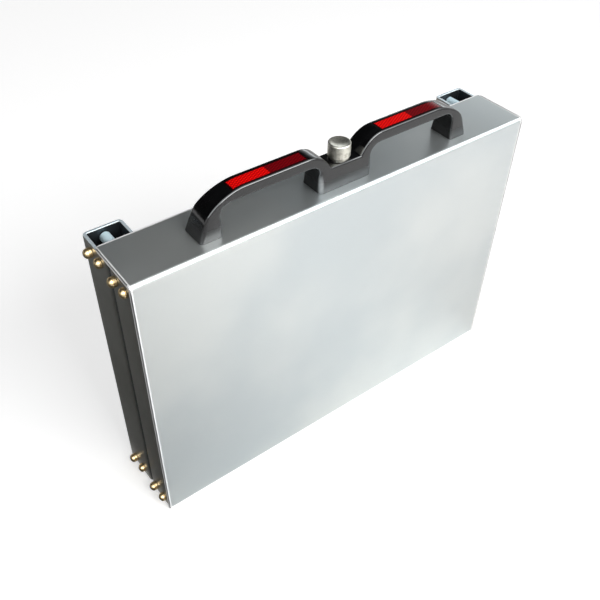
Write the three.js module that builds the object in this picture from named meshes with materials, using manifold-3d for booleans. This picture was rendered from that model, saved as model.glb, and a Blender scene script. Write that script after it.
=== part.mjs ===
// Flat aluminium battery box with a twin-grip carrying handle and a quarter-turn lock knob.
// Units are millimetres. X runs along the width, Y from the front panel to the rear rails, Z up.
// The origin is the middle of the footprint on the surface that the box stands on.

import * as THREE from 'three';
import { mergeVertices } from 'three/addons/utils/BufferGeometryUtils.js';
import Module from 'manifold-3d';

const wasm = await Module();
wasm.setup();

// Clearances shared by every piece
const fit = 0.3;
const seat = 0.2;
const overrun = 2;

// Sides of the small and the larger round pieces
const fewSides = 12;
const manySides = 20;

// Shell: one bent sheet makes the front panel and the top deck
const caseWidth = 400;
const panelHeight = 277;
const deckDepth = 56;
const shellSheet = 2.5;
const shellBend = 4;
const shellEdge = 0.7;
const shellLift = 1;

// Columns: two aluminium tubes stand one behind the other at each end
const columnWidth = 33;
const frontColumnDepth = 32.5;
const rearColumnDepth = 42.6;
const columnGap = 2;
const columnWall = 3;
const columnRadius = 4;
const columnInset = 0.8;
const deckGap = 3;
const rearColumnClear = 0.5;

// Plastic foot in the bottom of each column, and the pad and seal that fill the gaps above and behind
const footHead = 2;
const footInset = 0.6;
const plugWall = 1.6;
const padInset = 2.5;
const padTongue = 9;
const sealInset = 4.5;

// Tie bars: round bars through both columns, tapped for the outside screws
const barDiameter = 9;
const upperBarDrop = 5.7;
const lowerBarRise = 7.8;
const barBevel = 0.8;

// Brass dome screws on the end faces, a long and a short one to each column end
const domeScrewPitch = 15;
const domeScrewShift = 1.2;
const domeScrewShank = 5;
const domeScrewHead = 8.4;
const domeScrewBite = 6;
const longCollar = 3.2;
const shortCollar = 1.8;
const domeHeight = 3.4;

// Back panel and bottom tray, both folded sheet
const innerSheet = 2;
const backLift = 2;
const backFlange = 15;
const backFlangeDrop = 33;
const backFlangeRise = 20;
const backTopFlange = 12;
const innerBend = 2.6;
const trayLift = 3;
const trayRim = 14;

// Angle brackets that hold the front panel to the front columns
const bracketLeg = 14;
const bracketHeight = 20;
const bracketHeightShares = [0.16, 0.5, 0.84];

// Small pan-head screws of the case
const panShank = 3.6;
const panHead = 7;
const panHeadHeight = 2.2;
const panLength = 7;
const backScrewShares = [0.06, 0.5, 0.94];

// Handle: a twin-grip moulding on the deck
const handleLength = 272.4;
const handleSetback = 11;
const handleBaseDepth = 25;
const handleFrontDraft = 1.2;
const handleBackDraft = 6;
const gripHeight = 36;
const gripShoulder = 41.2;
const gripFlatEnd = 37;
const bridgeHeight = 20.8;
const bridgeHalf = 15;
const gapTop = 26.5;
const gripLeg = 18.9;
const plinthFlare = 4;
const plinthHeight = 14;
const plinthLip = 1.5;
const gapInner = 26.5;
const gapRadius = 10;
const handleEdge = 1.3;
const footScrewInset = 9.5;
const blockScrewOffset = 19.5;
const handleScrewBite = 12;
const handleScrewShank = 5;
const handleScrewHead = 9;
const handleScrewHeadHeight = 3;

// Reflectors let into the tops of the grips
const reflectorOuterWrap = 10;
const reflectorWidth = 12.5;
const reflectorSetback = 2;
const reflectorThickness = 2;

// Quarter-turn lock through the bridge of the handle
const lockSetback = 22.2;
const knobDiameter = 19;
const knobHeight = 12;
const knobDish = 1.1;
const knobRim = 1.6;
const knobEdge = 0.8;
const knobSocket = 7.5;
const barrelDiameter = 13;
const barrelFlange = 17;
const barrelFlangeHeight = 0.8;
const barrelTail = 4.5;
const barrelNutFlats = 19;
const barrelNutHeight = 4;
const spindleDiameter = 7;
const spindleSquare = 5;
const camThickness = 3;
const camHub = 8;
const camHalfWidth = 6;
const camReach = 8;
const camNutFlats = 8;
const camNutHeight = 3.4;
const camStud = 4;
const slotClearance = 1.5;

// Battery: twelve pouch cells, three deep in each bay of a moulded frame
const wiringBay = 40;
const frameSideRoom = 6;
const frameWall = 2.5;
const foamThickness = 2.5;
const cellRows = 3;
const cellGap = 0.4;
const cellSideClear = 1;
const cellCorner = 4;
const cellBevel = 1.5;
const tabHeight = 9;
const tabWidth = 28;
const tabThickness = 1;
const tabInset = 14;
const linkThickness = 1.4;
const linkRoom = 6;

// Protection board with its heat sink, and the fuse, on top of the frame
const boardLength = 96;
const boardDepth = 40;
const boardThickness = 1.6;
const boardPost = 5;
const boardPostDiameter = 6;
const boardInset = 2.2;
const sinkLength = 80;
const sinkDepth = 16;
const sinkHeight = 11;
const sinkFins = 6;
const sinkBase = 3;
const chipLength = 9;
const chipDepth = 8;
const chipHeight = 4;
const chipCount = 6;
const fuseLength = 32;
const fuseDepth = 16;
const fuseHeight = 14;
const fuseToSocket = 36;
const fuseBladeWidth = 19;
const fuseBladeThickness = 5;
const fuseBladeHeight = 8;

// Sockets in the back panel
const socketPitch = 50;
const powerFlangeWidth = 50;
const powerFlangeHeight = 25;
const powerBodyWidth = 29;
const powerBodyHeight = 21;
const powerRecessWidth = 24.5;
const powerRecessHeight = 17;
const powerRecessDepth = 16;
const powerBodyDepth = 24;
const powerPinWidth = 4;
const powerPinThickness = 2;
const powerPinLength = 12;
const powerPinPitch = 7;
const chargeInset = 44.2;
const chargeFlange = 27;
const chargeBore = 14;
const chargeBody = 19;
const chargeDepth = 22;
const chargeRecessDepth = 13;
const chargePin = 3;
const socketFlange = 2.5;
const leadDiameter = 4.4;

// Levels and planes worked out from the sizes above
const deckTop = shellLift + panelHeight;
const deckUnder = deckTop - shellSheet;
const columnTop = deckUnder - deckGap;
const overallDepth = shellSheet + seat + frontColumnDepth + columnGap + rearColumnDepth;
const frontY = -overallDepth / 2;
const panelInner = frontY + shellSheet;
const deckBack = frontY + deckDepth;
const backInner = deckBack - innerSheet;
const columnX = caseWidth / 2 - columnInset - columnWidth / 2;
const innerHalf = columnX - columnWidth / 2;
const barRadius = barDiameter / 2;
const barLevels = { upper: columnTop - upperBarDrop, lower: footHead + lowerBarRise };
const columns = {
  front: {
    depth: frontColumnDepth,
    y: panelInner + seat + frontColumnDepth / 2,
    top: columnTop,
  },
  rear: {
    depth: rearColumnDepth,
    y: -frontY - rearColumnDepth / 2,
    top: deckUnder - rearColumnClear,
  },
};
const seamY = columns.front.y + frontColumnDepth / 2 + columnGap / 2;
const sides = { left: -1, right: 1 };
const handleFront = frontY + handleSetback;
const lockY = frontY + lockSetback;
const bridgeTop = deckTop + bridgeHeight;
const trayFloor = trayLift + innerSheet;
const frameBottom = trayFloor + seat;
const frameTop = deckUnder - wiringBay;
const frameHalf = innerHalf - frameSideRoom;
const stackFront = panelInner + foamThickness + 2 * seat;
const stackBack = backInner - foamThickness - 2 * seat;
const bayWidth = (2 * frameHalf - 3 * frameWall) / 2;
const bayHeight = (frameTop - frameBottom - 3 * frameWall) / 2;
const cellThickness = (stackBack - stackFront - (cellRows - 1) * cellGap) / cellRows;
const cellWidth = bayWidth - 2 * cellSideClear;
const cellHeight = bayHeight - seat - tabHeight - linkRoom;
const socketLevel = deckUnder - wiringBay / 2;
const barrelBottom = deckUnder - seat - barrelNutHeight - barrelTail;
const camTop = barrelBottom - fit;
const camLevel = camTop - camThickness / 2;
const camLength = deckBack - lockY + camReach;
const gapOuter = handleLength / 2 - gripLeg;
const gripFlatStart = handleLength / 2 - gripShoulder;
const boardX = boardInset + boardLength / 2 - frameHalf;
const chargeX = innerHalf - chargeInset;
const powerX = chargeX - socketPitch;
const fuseX = powerX - fuseToSocket;

// Finishes
function finish(color, roughness, metalness) {
  return new THREE.MeshStandardMaterial({ color, roughness, metalness });
}
const finishes = {
  sheet: finish(0xbfc6c8, 0.4, 0.9),
  extrusion: finish(0x7d7f7b, 0.45, 0.85),
  brass: finish(0xc9a45c, 0.3, 0.95),
  steel: finish(0x9a9d9f, 0.35, 0.9),
  nickel: finish(0xb5b3a8, 0.35, 0.95),
  handle: finish(0x141416, 0.22, 0.0),
  rubber: finish(0x1c1c1e, 0.85, 0.0),
  lens: finish(0xd01515, 0.15, 0.0),
  frame: finish(0x2f3236, 0.6, 0.0),
  pouch: finish(0xa9adb0, 0.45, 0.6),
  copper: finish(0xb87346, 0.35, 0.95),
  foam: finish(0x3a3b3d, 0.95, 0.0),
  board: finish(0x1e5a36, 0.5, 0.1),
  socket: finish(0x18191b, 0.4, 0.0),
  redLead: finish(0xb3201c, 0.5, 0.0),
  blackLead: finish(0x151515, 0.5, 0.0),
};

const batteryBox = new THREE.Group();

function solidOf(geometry) {
  const bare = geometry.clone();
  bare.deleteAttribute('normal');
  bare.deleteAttribute('uv');
  const merged = mergeVertices(bare);
  const mesh = new wasm.Mesh({
    numProp: 3,
    vertProperties: new Float32Array(merged.attributes.position.array),
    triVerts: new Uint32Array(merged.index.array),
  });
  return new wasm.Manifold(mesh);
}

function geometryOf(solid) {
  const mesh = solid.getMesh();
  const geometry = new THREE.BufferGeometry();
  geometry.setAttribute('position', new THREE.BufferAttribute(mesh.vertProperties, mesh.numProp));
  geometry.setIndex(new THREE.BufferAttribute(mesh.triVerts, 1));
  geometry.computeVertexNormals();
  return geometry;
}

function addPart(name, solid, material) {
  const mesh = new THREE.Mesh(geometryOf(solid), material);
  mesh.name = name;
  batteryBox.add(mesh);
}

function joined(solids) {
  return solids.reduce((sum, next) => sum.add(next));
}

// A block between two corners, given as pairs of limits along X, Y and Z
function block([x0, x1], [y0, y1], [z0, z1]) {
  const geometry = new THREE.BoxGeometry(x1 - x0, y1 - y0, z1 - z0);
  geometry.translate((x0 + x1) / 2, (y0 + y1) / 2, (z0 + z1) / 2);
  return solidOf(geometry);
}

function around(centre, size) {
  return [centre - size / 2, centre + size / 2];
}

// A round rod from one level to another along an axis, centred on the point given
function rod(axis, radius, [from, to], [x, y, z], segments = fewSides) {
  const geometry = new THREE.CylinderGeometry(radius, radius, to - from, segments);
  geometry.translate(0, (from + to) / 2, 0);
  if (axis === 'x') geometry.rotateZ(-Math.PI / 2);
  if (axis === 'z') geometry.rotateX(Math.PI / 2);
  geometry.translate(x, y, z);
  return solidOf(geometry);
}

function roundedRectangle(width, height, radius) {
  const w = width / 2;
  const h = height / 2;
  const shape = new THREE.Shape();
  shape.absarc(w - radius, h - radius, radius, 0, Math.PI / 2);
  shape.absarc(-w + radius, h - radius, radius, Math.PI / 2, Math.PI);
  shape.absarc(-w + radius, -h + radius, radius, Math.PI, 1.5 * Math.PI);
  shape.absarc(w - radius, -h + radius, radius, 1.5 * Math.PI, 2 * Math.PI);
  shape.closePath();
  return shape;
}

function hexagon(flats) {
  const shape = new THREE.Shape();
  const corner = flats / Math.sqrt(3);
  for (let i = 0; i < 6; i += 1) {
    const angle = (i * Math.PI) / 3;
    const move = i === 0 ? 'moveTo' : 'lineTo';
    shape[move](corner * Math.cos(angle), corner * Math.sin(angle));
  }
  shape.closePath();
  return shape;
}

// A prism of an outline drawn in X and Y, standing from one level up to another
function prism(shape, [from, to], options = {}) {
  const geometry = new THREE.ExtrudeGeometry(shape, {
    depth: to - from,
    bevelEnabled: false,
    curveSegments: 6,
    ...options,
  });
  geometry.translate(0, 0, from);
  return geometry;
}

// Outline drawn in X and Z, running back along Y between two planes
function runAlongY(shape, [from, to], options) {
  const geometry = prism(shape, [-to, -from], options);
  geometry.rotateX(Math.PI / 2);
  return geometry;
}

// Outline drawn in Y and Z, running along X between two planes
function runAlongX(shape, [from, to], options) {
  const geometry = prism(shape, [from, to], options);
  const turn = new THREE.Matrix4();
  turn.makeBasis(
    new THREE.Vector3(0, 1, 0),
    new THREE.Vector3(0, 0, 1),
    new THREE.Vector3(1, 0, 0),
  );
  geometry.applyMatrix4(turn);
  return geometry;
}

// A turned piece: points are pairs of radius and height, and the axis stands along Z
function turned(points, segments) {
  const profile = points.map(([radius, height]) => new THREE.Vector2(radius, height));
  const geometry = new THREE.LatheGeometry(profile, segments);
  geometry.rotateX(Math.PI / 2);
  return geometry;
}

function placed(geometry, x, y, z) {
  const copy = geometry.clone();
  copy.translate(x, y, z);
  return solidOf(copy);
}

// Points where the dome screws enter the columns and the tie bars
function domeScrewPlaces() {
  const places = [];
  for (const [place, column] of Object.entries(columns)) {
    for (const [height, level] of Object.entries(barLevels)) {
      const half = domeScrewPitch / 2;
      const y = column.y - domeScrewShift;
      const name = `${place}_${height}`;
      places.push({ name: `${name}_short`, y: y - half, z: level, collar: shortCollar });
      places.push({ name: `${name}_long`, y: y + half, z: level, collar: longCollar });
    }
  }
  return places;
}

// Small screws that hold the back panel, the tray and the brackets to the columns
function bracketLevels() {
  return bracketHeightShares.map((share) => shellLift + share * panelHeight);
}

function backScrewLevels() {
  const low = backFlangeRise;
  const high = deckTop - backFlangeDrop;
  return backScrewShares.map((share) => low + share * (high - low));
}

function bracketScrewPlaces() {
  const y = panelInner + innerSheet + bracketLeg / 2;
  return bracketLevels().map((z) => ({ y, z }));
}

function trayScrewPlace() {
  return { y: panelInner + innerSheet + bracketLeg / 2, z: trayFloor + trayRim / 2 };
}

function backScrewPlaces() {
  const y = deckBack + innerBend + (backFlange - innerBend) / 2;
  return backScrewLevels().map((z) => ({ y, z }));
}

function buildShell() {
  const shape = new THREE.Shape();
  const inner = shellBend - shellSheet;
  shape.moveTo(frontY, shellLift);
  shape.lineTo(frontY + shellSheet, shellLift);
  shape.lineTo(frontY + shellSheet, deckTop - shellBend);
  shape.absarc(frontY + shellBend, deckTop - shellBend, inner, Math.PI, Math.PI / 2, true);
  shape.lineTo(deckBack, deckUnder);
  shape.lineTo(deckBack, deckTop);
  shape.lineTo(frontY + shellBend, deckTop);
  shape.absarc(frontY + shellBend, deckTop - shellBend, shellBend, Math.PI / 2, Math.PI, false);
  shape.closePath();
  const half = caseWidth / 2 - shellEdge;
  const bevel = {
    bevelEnabled: true,
    bevelThickness: shellEdge,
    bevelSize: shellEdge,
    bevelOffset: -shellEdge,
    bevelSegments: 1,
  };
  let shell = solidOf(runAlongX(shape, [-half, half], bevel));
  const through = [deckUnder - overrun, deckTop + overrun];
  shell = shell.subtract(rod('z', barrelDiameter / 2 + fit, through, [0, lockY, 0], manySides));
  for (const [, x, y] of handleScrewPlaces()) {
    shell = shell.subtract(rod('z', handleScrewShank / 2 + fit, through, [x, y, 0]));
  }
  addPart('front_shell', shell.add(shellBrackets()), finishes.sheet);
}

function columnTube(column) {
  const shape = roundedRectangle(columnWidth, column.depth, columnRadius);
  const hollowRadius = Math.max(columnRadius - columnWall, columnWall / 3);
  const hollow = roundedRectangle(
    columnWidth - 2 * columnWall,
    column.depth - 2 * columnWall,
    hollowRadius,
  );
  shape.holes.push(hollow);
  const tube = prism(shape, [footHead, column.top], { curveSegments: 3 });
  tube.translate(0, column.y, 0);
  return tube;
}

function buildColumns() {
  const barHole = barRadius + fit;
  const barCut = around(seamY, 2 * columnWall + columnGap + 2 * overrun);
  const shankHole = domeScrewShank / 2 + fit;
  const panHole = panShank / 2 + fit;
  const wallCut = columnWall + 2 * overrun;
  for (const [end, side] of Object.entries(sides)) {
    for (const [place, column] of Object.entries(columns)) {
      const geometry = columnTube(column);
      geometry.translate(side * columnX, 0, 0);
      let tube = solidOf(geometry);
      for (const level of Object.values(barLevels)) {
        tube = tube.subtract(rod('y', barHole, barCut, [side * columnX, 0, level]));
      }
      const outerWall = side * (columnX + columnWidth / 2 - columnWall / 2);
      for (const { y, z } of domeScrewPlaces()) {
        tube = tube.subtract(rod('x', shankHole, around(0, wallCut), [outerWall, y, z], 8));
      }
      const innerWall = side * (innerHalf + columnWall / 2);
      const inside = [...bracketScrewPlaces(), trayScrewPlace(), ...backScrewPlaces()];
      for (const { y, z } of inside) {
        tube = tube.subtract(rod('x', panHole, around(0, wallCut), [innerWall, y, z], 6));
      }
      addPart(`${place}_column_${end}`, tube, finishes.extrusion);
    }
  }
}

function buildFeet() {
  const skirtTop = barLevels.lower - barRadius - fit;
  for (const [end, side] of Object.entries(sides)) {
    for (const [place, column] of Object.entries(columns)) {
      const head = roundedRectangle(
        columnWidth - 2 * footInset,
        column.depth - 2 * footInset,
        columnRadius - footInset,
      );
      const skirtWidth = columnWidth - 2 * (columnWall + fit);
      const skirtDepth = column.depth - 2 * (columnWall + fit);
      const skirt = roundedRectangle(skirtWidth, skirtDepth, plugWall);
      skirt.holes.push(roundedRectangle(
        skirtWidth - 2 * plugWall,
        skirtDepth - 2 * plugWall,
        plugWall / 2,
      ));
      const plate = solidOf(prism(head, [0, footHead - seat], { curveSegments: 2 }));
      const ring = solidOf(prism(skirt, [footHead / 2, skirtTop], { curveSegments: 1 }));
      const foot = plate.add(ring).translate([side * columnX, column.y, 0]);
      addPart(`foot_${place}_${end}`, foot, finishes.rubber);
    }
  }
}

function buildDeckPads() {
  const column = columns.front;
  const bottom = columnTop - padTongue;
  const tongueY = column.depth / 2 - columnWall - fit - plugWall / 2;
  const width = columnWidth - 2 * (columnWall + fit);
  for (const [end, side] of Object.entries(sides)) {
    const x = side * columnX;
    const head = roundedRectangle(columnWidth - 2 * padInset, column.depth - 2 * padInset, padInset);
    const plate = prism(head, [columnTop + seat, deckUnder - seat], { curveSegments: 2 });
    let pad = placed(plate, x, column.y, 0);
    for (const edge of [-1, 1]) {
      const y = around(column.y + edge * tongueY, plugWall);
      pad = pad.add(block(around(x, width), y, [bottom, columnTop + 2 * seat]));
    }
    const saddle = barRadius + fit;
    const along = around(column.y, column.depth);
    pad = pad.subtract(rod('y', saddle, along, [x, 0, barLevels.upper]));
    pad = pad.subtract(block(around(x, 2 * saddle), along, [bottom - overrun, barLevels.upper]));
    addPart(`deck_pad_${end}`, pad.add(seamSeal(x)), finishes.rubber);
  }
}

// A strip that hangs from the pad and closes the seam between the two columns of an end
function seamSeal(x) {
  const wide = around(x, columnWidth - 2 * sealInset);
  const thick = around(seamY, columnGap - 2 * seat);
  const top = [columnTop + seat, deckUnder - seat];
  let seal = block(wide, thick, [footHead, top[1]]);
  for (const level of Object.values(barLevels)) {
    seal = seal.subtract(rod('y', barRadius + fit, around(seamY, columnGap), [x, 0, level]));
  }
  return seal.add(block(wide, [columns.front.y, thick[1]], top));
}

function buildTieBars() {
  const front = columns.front.y - columns.front.depth / 2 + columnWall + fit;
  const back = columns.rear.y + columns.rear.depth / 2 - columnWall - fit;
  const tapped = [barRadius - domeScrewBite - fit, barRadius + overrun];
  const profile = [
    [0, front],
    [barRadius - barBevel, front],
    [barRadius, front + barBevel],
    [barRadius, back - barBevel],
    [barRadius - barBevel, back],
    [0, back],
  ];
  for (const [end, side] of Object.entries(sides)) {
    for (const [name, level] of Object.entries(barLevels)) {
      const geometry = turned(profile, fewSides);
      geometry.rotateX(-Math.PI / 2);
      let bar = placed(geometry, side * columnX, 0, level);
      const reach = tapped.map((value) => side * value).sort((a, b) => a - b);
      for (const { y, z } of domeScrewPlaces()) {
        if (z !== level) continue;
        const hole = rod('x', domeScrewShank / 2 + fit, reach, [side * columnX, y, level], 8);
        bar = bar.subtract(hole);
      }
      addPart(`${name}_tie_bar_${end}`, bar, finishes.steel);
    }
  }
}

function domeScrew(collar) {
  const shank = domeScrewShank / 2;
  const head = domeScrewHead / 2;
  const tip = -(columnWidth / 2 - barRadius + domeScrewBite);
  const points = [
    [0, tip],
    [shank, tip],
    [shank, seat],
    [head, seat],
    [head, collar],
  ];
  const steps = 3;
  for (let i = 1; i <= steps; i += 1) {
    const angle = (i / steps) * (Math.PI / 2);
    const radius = i === steps ? 0 : head * Math.cos(angle);
    points.push([radius, collar + domeHeight * Math.sin(angle)]);
  }
  return turned(points, 10);
}

function buildDomeScrews() {
  for (const [end, side] of Object.entries(sides)) {
    for (const { name, y, z, collar } of domeScrewPlaces()) {
      const geometry = domeScrew(collar);
      geometry.rotateY((side * Math.PI) / 2);
      const screw = placed(geometry, side * (columnX + columnWidth / 2), y, z);
      addPart(`dome_screw_${end}_${name}`, screw, finishes.brass);
    }
  }
}

function buildBackPanel() {
  const half = innerHalf - seat;
  const top = deckUnder - seat;
  const web = new THREE.Shape();
  const rear = deckBack + backFlange;
  const inner = innerBend - innerSheet;
  web.moveTo(-half, rear);
  web.lineTo(-half, backInner + innerBend);
  web.absarc(-half + innerBend, backInner + innerBend, innerBend, Math.PI, 1.5 * Math.PI, false);
  web.lineTo(half - innerBend, backInner);
  web.absarc(half - innerBend, backInner + innerBend, innerBend, 1.5 * Math.PI, 2 * Math.PI, false);
  web.lineTo(half, rear);
  web.lineTo(half - innerSheet, rear);
  web.lineTo(half - innerSheet, backInner + innerBend);
  web.absarc(half - innerBend, backInner + innerBend, inner, 2 * Math.PI, 1.5 * Math.PI, true);
  web.lineTo(-half + innerBend, deckBack);
  web.absarc(-half + innerBend, backInner + innerBend, inner, 1.5 * Math.PI, Math.PI, true);
  web.lineTo(-half + innerSheet, rear);
  web.closePath();
  let panel = solidOf(prism(web, [backLift, top], { curveSegments: 3 }));
  const across = [-caseWidth / 2, caseWidth / 2];
  const behind = [deckBack, rear + overrun];
  const flangeTop = deckTop - backFlangeDrop;
  panel = panel.subtract(block(across, behind, [flangeTop, deckTop]));
  panel = panel.subtract(block(across, behind, [0, backFlangeRise - panHead]));
  const lip = [backInner - backTopFlange, deckBack];
  panel = panel.add(block([-half + innerBend, half - innerBend], lip, [top - innerSheet, top]));
  panel = panel.subtract(camSlot());
  panel = panel.subtract(socketCuts());
  for (const side of Object.values(sides)) {
    for (const { y, z } of backScrewPlaces()) panel = panel.add(sideScrew(side, y, z));
  }
  addPart('back_panel', panel, finishes.sheet);
}

function camSlot() {
  const tip = Math.hypot(camLength, camHalfWidth);
  const plane = backInner - lockY;
  const left = -Math.sqrt(Math.max(tip ** 2 - plane ** 2, camHalfWidth ** 2)) - slotClearance;
  const right = camHalfWidth + slotClearance;
  const height = camThickness + 2 * slotClearance;
  return block([left, right], [backInner - overrun, deckBack + overrun], around(camLevel, height));
}

function socketScrewPlaces() {
  const power = powerFlangeWidth / 2 - panHead / 2 - seat;
  const charge = chargeFlange / 2 - panHead / 2;
  return [
    [powerX - power, socketLevel],
    [powerX + power, socketLevel],
    [chargeX - charge, socketLevel + charge],
    [chargeX + charge, socketLevel - charge],
  ];
}

function socketCuts() {
  const through = [backInner - overrun, deckBack + overrun];
  const width = powerBodyWidth + 2 * fit;
  const height = powerBodyHeight + 2 * fit;
  let cuts = block(around(powerX, width), through, around(socketLevel, height));
  const bore = chargeBody / 2 + fit;
  cuts = cuts.add(rod('y', bore, through, [chargeX, 0, socketLevel], 16));
  for (const [x, z] of socketScrewPlaces()) {
    cuts = cuts.add(rod('y', panShank / 2 + fit, through, [x, 0, z], 8));
  }
  return cuts;
}

function buildTray() {
  const half = innerHalf - seat;
  const front = panelInner + seat;
  const back = backInner - seat;
  const outer = block([-half, half], [front, back], [trayLift, trayFloor + trayRim]);
  const inside = block(
    [-half + innerSheet, half - innerSheet],
    [front + innerSheet, back - innerSheet],
    [trayFloor, trayFloor + trayRim + overrun],
  );
  let tray = outer.subtract(inside);
  const { y, z } = trayScrewPlace();
  for (const side of Object.values(sides)) tray = tray.add(sideScrew(side, y, z));
  addPart('bottom_tray', tray, finishes.sheet);
}

// Angle brackets welded to the inside of the front panel, with the screws they carry
function shellBrackets() {
  const edge = innerHalf - seat;
  const front = panelInner - seat;
  const outline = new THREE.Shape();
  outline.moveTo(edge, front);
  outline.lineTo(edge, front + innerSheet + bracketLeg);
  outline.lineTo(edge - innerSheet, front + innerSheet + bracketLeg);
  outline.lineTo(edge - innerSheet, front + innerSheet);
  outline.lineTo(edge - bracketLeg, front + innerSheet);
  outline.lineTo(edge - bracketLeg, front);
  outline.closePath();
  const brackets = [];
  for (const { y, z } of bracketScrewPlaces()) {
    const angle = solidOf(prism(outline, around(z, bracketHeight)));
    const bracket = angle.add(sideScrew(1, y, z));
    brackets.push(bracket, bracket.mirror([1, 0, 0]));
  }
  return joined(brackets);
}

// A pan-head screw whose head rests on the plane at height 0 and whose shank points down
function panScrew() {
  const shank = panShank / 2;
  const head = panHead / 2;
  const points = [
    [0, -panLength],
    [shank, -panLength],
    [shank, -seat],
    [head, -seat],
    [head / 2, panHeadHeight],
    [0, panHeadHeight],
  ];
  return turned(points, 8);
}

// The same screw driven outward into a column, carried by the sheet that lies against it
function sideScrew(side, y, z) {
  const geometry = panScrew();
  geometry.rotateY((-side * Math.PI) / 2);
  return placed(geometry, side * (innerHalf - seat - innerSheet), y, z);
}

// The same screw driven forward into the back panel, carried by a socket's flange
function backScrew(x, z) {
  const geometry = panScrew();
  geometry.rotateX(-Math.PI / 2);
  return placed(geometry, x, deckBack + seat + socketFlange, z);
}

// Side view of the handle in X and Z, from the deck up, with open finger gaps
function handleOutline(skirt) {
  const half = handleLength / 2;
  const shape = new THREE.Shape();
  shape.moveTo(-half, -skirt);
  shape.lineTo(-half, plinthLip);
  addGripCrown(shape, -1);
  addGripCrown(shape, 1);
  shape.lineTo(half, plinthLip);
  shape.lineTo(half, -skirt);
  addFingerGap(shape, 1, skirt);
  addFingerGap(shape, -1, skirt);
  shape.closePath();
  return shape;
}

// Shares of the shoulder's run and rise that bend the outer and inner ends of a grip
const shoulderRunShares = [0.086, 0.57];
const shoulderRiseShares = [0.52, 0.982];
const dipRunShares = [0.45, 0.77];
const dipRiseShares = [0, 0.41];

function addGripCrown(shape, side) {
  const foot = handleLength / 2 - plinthFlare;
  const reach = foot - gripFlatStart;
  const climb = gripHeight - plinthHeight;
  const run = gripFlatEnd - bridgeHalf;
  const drop = gripHeight - bridgeHeight;
  const outer = [
    [foot, plinthHeight],
    [foot - shoulderRunShares[0] * reach, plinthHeight + shoulderRiseShares[0] * climb],
    [foot - shoulderRunShares[1] * reach, plinthHeight + shoulderRiseShares[1] * climb],
    [gripFlatStart, gripHeight],
  ];
  const inner = [
    [gripFlatEnd, gripHeight],
    [gripFlatEnd - dipRunShares[0] * run, gripHeight - dipRiseShares[0] * drop],
    [gripFlatEnd - dipRunShares[1] * run, gripHeight - dipRiseShares[1] * drop],
    [bridgeHalf, bridgeHeight],
  ];
  const order = side < 0 ? [outer, inner] : [reversed(inner), reversed(outer)];
  for (const curve of order) {
    const [start, first, second, end] = curve.map(([x, z]) => [side * x, z]);
    shape.lineTo(...start);
    shape.bezierCurveTo(...first, ...second, ...end);
  }
}

function reversed(list) {
  return [...list].reverse();
}

function addFingerGap(shape, side, skirt) {
  const corners = [
    [gapOuter, -skirt],
    [gapOuter, gapTop],
    [gapInner, gapTop],
    [gapInner, -skirt],
  ];
  const [a, b, c, d] = (side > 0 ? corners : reversed(corners)).map(([x, z]) => [side * x, z]);
  const step = Math.sign(c[0] - b[0]) * gapRadius;
  shape.lineTo(...a);
  shape.lineTo(b[0], b[1] - gapRadius);
  shape.quadraticCurveTo(b[0], b[1], b[0] + step, b[1]);
  shape.lineTo(c[0] - step, c[1]);
  shape.quadraticCurveTo(c[0], c[1], c[0], c[1] - gapRadius);
  shape.lineTo(...d);
}

// Leans the front and back faces of the moulding inward as they rise from the deck
function draft(geometry) {
  const position = geometry.attributes.position;
  for (let i = 0; i < position.count; i += 1) {
    const rise = position.getZ(i) / gripHeight;
    const y = position.getY(i);
    const lean = y < handleBaseDepth / 2 ? handleFrontDraft : -handleBackDraft;
    position.setY(i, y + lean * rise);
  }
  return geometry;
}

function handleScrewPlaces() {
  const y = handleFront + handleBaseDepth / 2;
  const foot = handleLength / 2 - footScrewInset;
  return [
    ['left_foot', -foot, y],
    ['left_middle', -blockScrewOffset, y],
    ['right_middle', blockScrewOffset, y],
    ['right_foot', foot, y],
  ];
}

// The crown's outline as a plain block as deep as the whole handle
function crownBlock() {
  const y = [handleFront - overrun, handleFront + handleBaseDepth + overrun];
  return solidOf(runAlongY(handleOutline(overrun), y, { curveSegments: 8 })).translate([0, 0, deckTop]);
}

// What lies over the floor of a reflector's recess, grown by a clearance all round
function reflectorRoom(side, clearance, depth) {
  const inner = gripFlatEnd - clearance;
  const outer = gripFlatStart + reflectorOuterWrap + clearance;
  const x = around((side * (inner + outer)) / 2, outer - inner);
  const front = handleFront + handleFrontDraft + reflectorSetback;
  const y = [front - clearance, front + reflectorWidth + clearance];
  const room = block(x, y, [deckTop + gapTop, deckTop + gripHeight + overrun]);
  return room.subtract(crownBlock().translate([0, 0, -depth]));
}

function buildHandle() {
  const bevel = {
    bevelEnabled: true,
    bevelThickness: handleEdge,
    bevelSize: handleEdge,
    bevelOffset: -handleEdge,
    bevelSegments: 2,
    curveSegments: 8,
  };
  const skirt = 2 * handleEdge;
  const between = [handleEdge, handleBaseDepth - handleEdge];
  const blank = draft(runAlongY(handleOutline(skirt), between, bevel));
  blank.translate(0, handleFront, deckTop);
  const above = [deckTop + seat, deckTop + 2 * gripHeight];
  const room = block(around(0, 2 * caseWidth), around(0, 2 * caseWidth), above);
  let handle = solidOf(blank).intersect(room);
  const through = [deckTop - overrun, bridgeTop + overrun];
  handle = handle.subtract(rod('z', barrelDiameter / 2 + fit, through, [0, lockY, 0], manySides));
  for (const [, x, y] of handleScrewPlaces()) {
    const pilot = [deckTop - overrun, deckTop + handleScrewBite + fit];
    handle = handle.subtract(rod('z', handleScrewShank / 2 + fit, pilot, [x, y, 0]));
  }
  for (const [end, side] of Object.entries(sides)) {
    handle = handle.subtract(reflectorRoom(side, fit, reflectorThickness + fit));
    const lens = reflectorRoom(side, 0, reflectorThickness).intersect(crownBlock());
    addPart(`reflector_${end}`, lens, finishes.lens);
  }
  addPart('handle', handle, finishes.handle);
}

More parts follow.
